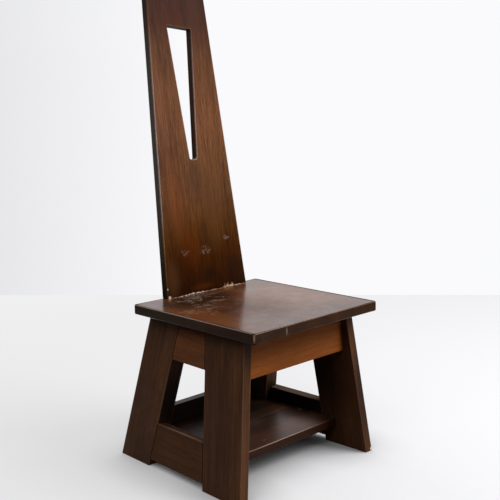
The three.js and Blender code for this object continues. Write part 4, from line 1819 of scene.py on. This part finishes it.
    def world(self) -> None:
        """Sets the white wall for what is seen and mirrored, and the room's dim light for the rest."""
        world = bpy.data.worlds.new("studio")
        bpy.context.scene.world = world
        world.use_nodes = True
        tree = world.node_tree
        tree.nodes.clear()
        way = add_node(tree, "ShaderNodeTexCoord")
        across = add_node(tree, "ShaderNodeVectorMath", {
            0: way.outputs["Generated"], 1: WALL_RIGHT,
        }, operation="DOT_PRODUCT")
        share = add_node(tree, "ShaderNodeMapRange", {
            0: across.outputs["Value"], 1: self.wall_span[0], 2: self.wall_span[1],
        })
        wall = add_node(tree, "ShaderNodeMix", {
            0: share.outputs[0], 6: linear(self.wall_left), 7: linear(self.wall_right),
        }, data_type="RGBA")
        depth = add_node(tree, "ShaderNodeVectorMath", {
            0: way.outputs["Generated"], 1: WALL_AHEAD,
        }, operation="DOT_PRODUCT")
        mirrored = add_node(tree, "ShaderNodeMapRange", {
            0: depth.outputs["Value"], 1: self.mirror_span[0], 2: self.mirror_span[1],
            3: self.room_gloss, 4: 1.0,
        })
        ray = add_node(tree, "ShaderNodeLightPath")
        shiny = add_node(tree, "ShaderNodeMath", {
            0: ray.outputs["Is Glossy Ray"], 1: ray.outputs["Is Transmission Ray"],
        }, operation="MAXIMUM")
        height = add_node(tree, "ShaderNodeSeparateXYZ", {0: way.outputs["Generated"]})
        room = add_node(tree, "ShaderNodeMapRange", {
            0: height.outputs["Z"], 1: self.room_span[0], 2: self.room_span[1],
            3: self.room_lights[0], 4: self.room_lights[1],
        })
        lit = add_node(tree, "ShaderNodeMix", {
            0: shiny.outputs[0], 2: room.outputs[0], 3: mirrored.outputs[0],
        })
        strength = add_node(tree, "ShaderNodeMix", {
            0: ray.outputs["Is Camera Ray"], 2: lit.outputs[0], 3: 1.0,
        })
        sky = add_node(tree, "ShaderNodeBackground", {
            "Color": wall.outputs[2], "Strength": strength.outputs[0],
        })
        add_node(tree, "ShaderNodeOutputWorld", {"Surface": sky.outputs[0]})

    def build(self) -> None:
        """Makes the floor, the world and the lamps."""
        self.floor()
        self.world()
        for lamp in self.lamps:
            lamp.hang(self.aim)
        LOG.info("studio ready")


@dataclass(frozen=True)
class PhotoView:
    """The photograph's viewpoint, fitted to the chair's corners.

    Attributes:
        azimuth: The viewer's turn round the chair, from its front to its right.
        elevation: How far above the target the viewer stands, as an angle.
        roll: The turn of the picture round its middle.
        distance: How far from the target the viewer stands.
        target: The point in the picture's middle.
        lens_mm: The focal length.
        sensor_mm: The width of the film.
    """

    azimuth: float = math.radians(-43.987)
    elevation: float = math.radians(9.731)
    roll: float = math.radians(-1.1101)
    distance: float = 2.3627253
    target: Place = (0.0020203, -0.0373235, 0.569339)
    lens_mm: float = 64.8
    sensor_mm: float = 36.0

    def build(self) -> None:
        """Makes the camera and sets it as the scene's."""
        flat = math.cos(self.elevation)
        side = math.sin(self.azimuth) * flat
        front = -math.cos(self.azimuth) * flat
        back = Vector((side, front, math.sin(self.elevation)))
        place = Vector(self.target) + back * self.distance
        right = (-back).cross(Vector((0, 0, 1))).normalized()
        up = right.cross(-back)
        level_right = right * math.cos(self.roll) + up * math.sin(self.roll)
        level_up = up * math.cos(self.roll) - right * math.sin(self.roll)
        turn = Matrix((level_right, level_up, back)).transposed()
        data = bpy.data.cameras.new("photo_view")
        data.lens = self.lens_mm
        data.sensor_width = self.sensor_mm
        camera = link_object("photo_view", data)
        camera.matrix_world = Matrix.Translation(place) @ turn.to_4x4()
        bpy.context.scene.camera = camera
        LOG.info("camera at %s", tuple(round(value, 4) for value in place))


def main() -> None:
    """Builds the camera, the chair's pieces and the studio in order."""
    logging.basicConfig(level=logging.INFO, format="%(name)s: %(message)s")
    bpy.context.scene.view_settings.view_transform = "Standard"
    PhotoView().build()
    Seat().build()
    BackPlank().build()
    SideFrame("left", -1, first_log=20).build()
    SideFrame("right", 1, first_log=30).build()
    CrossPieces().build()
    Shelf().build()
    HiddenWork().build()
    Screws().build()
    Studio().build()


if __name__ == "__main__":
    main()
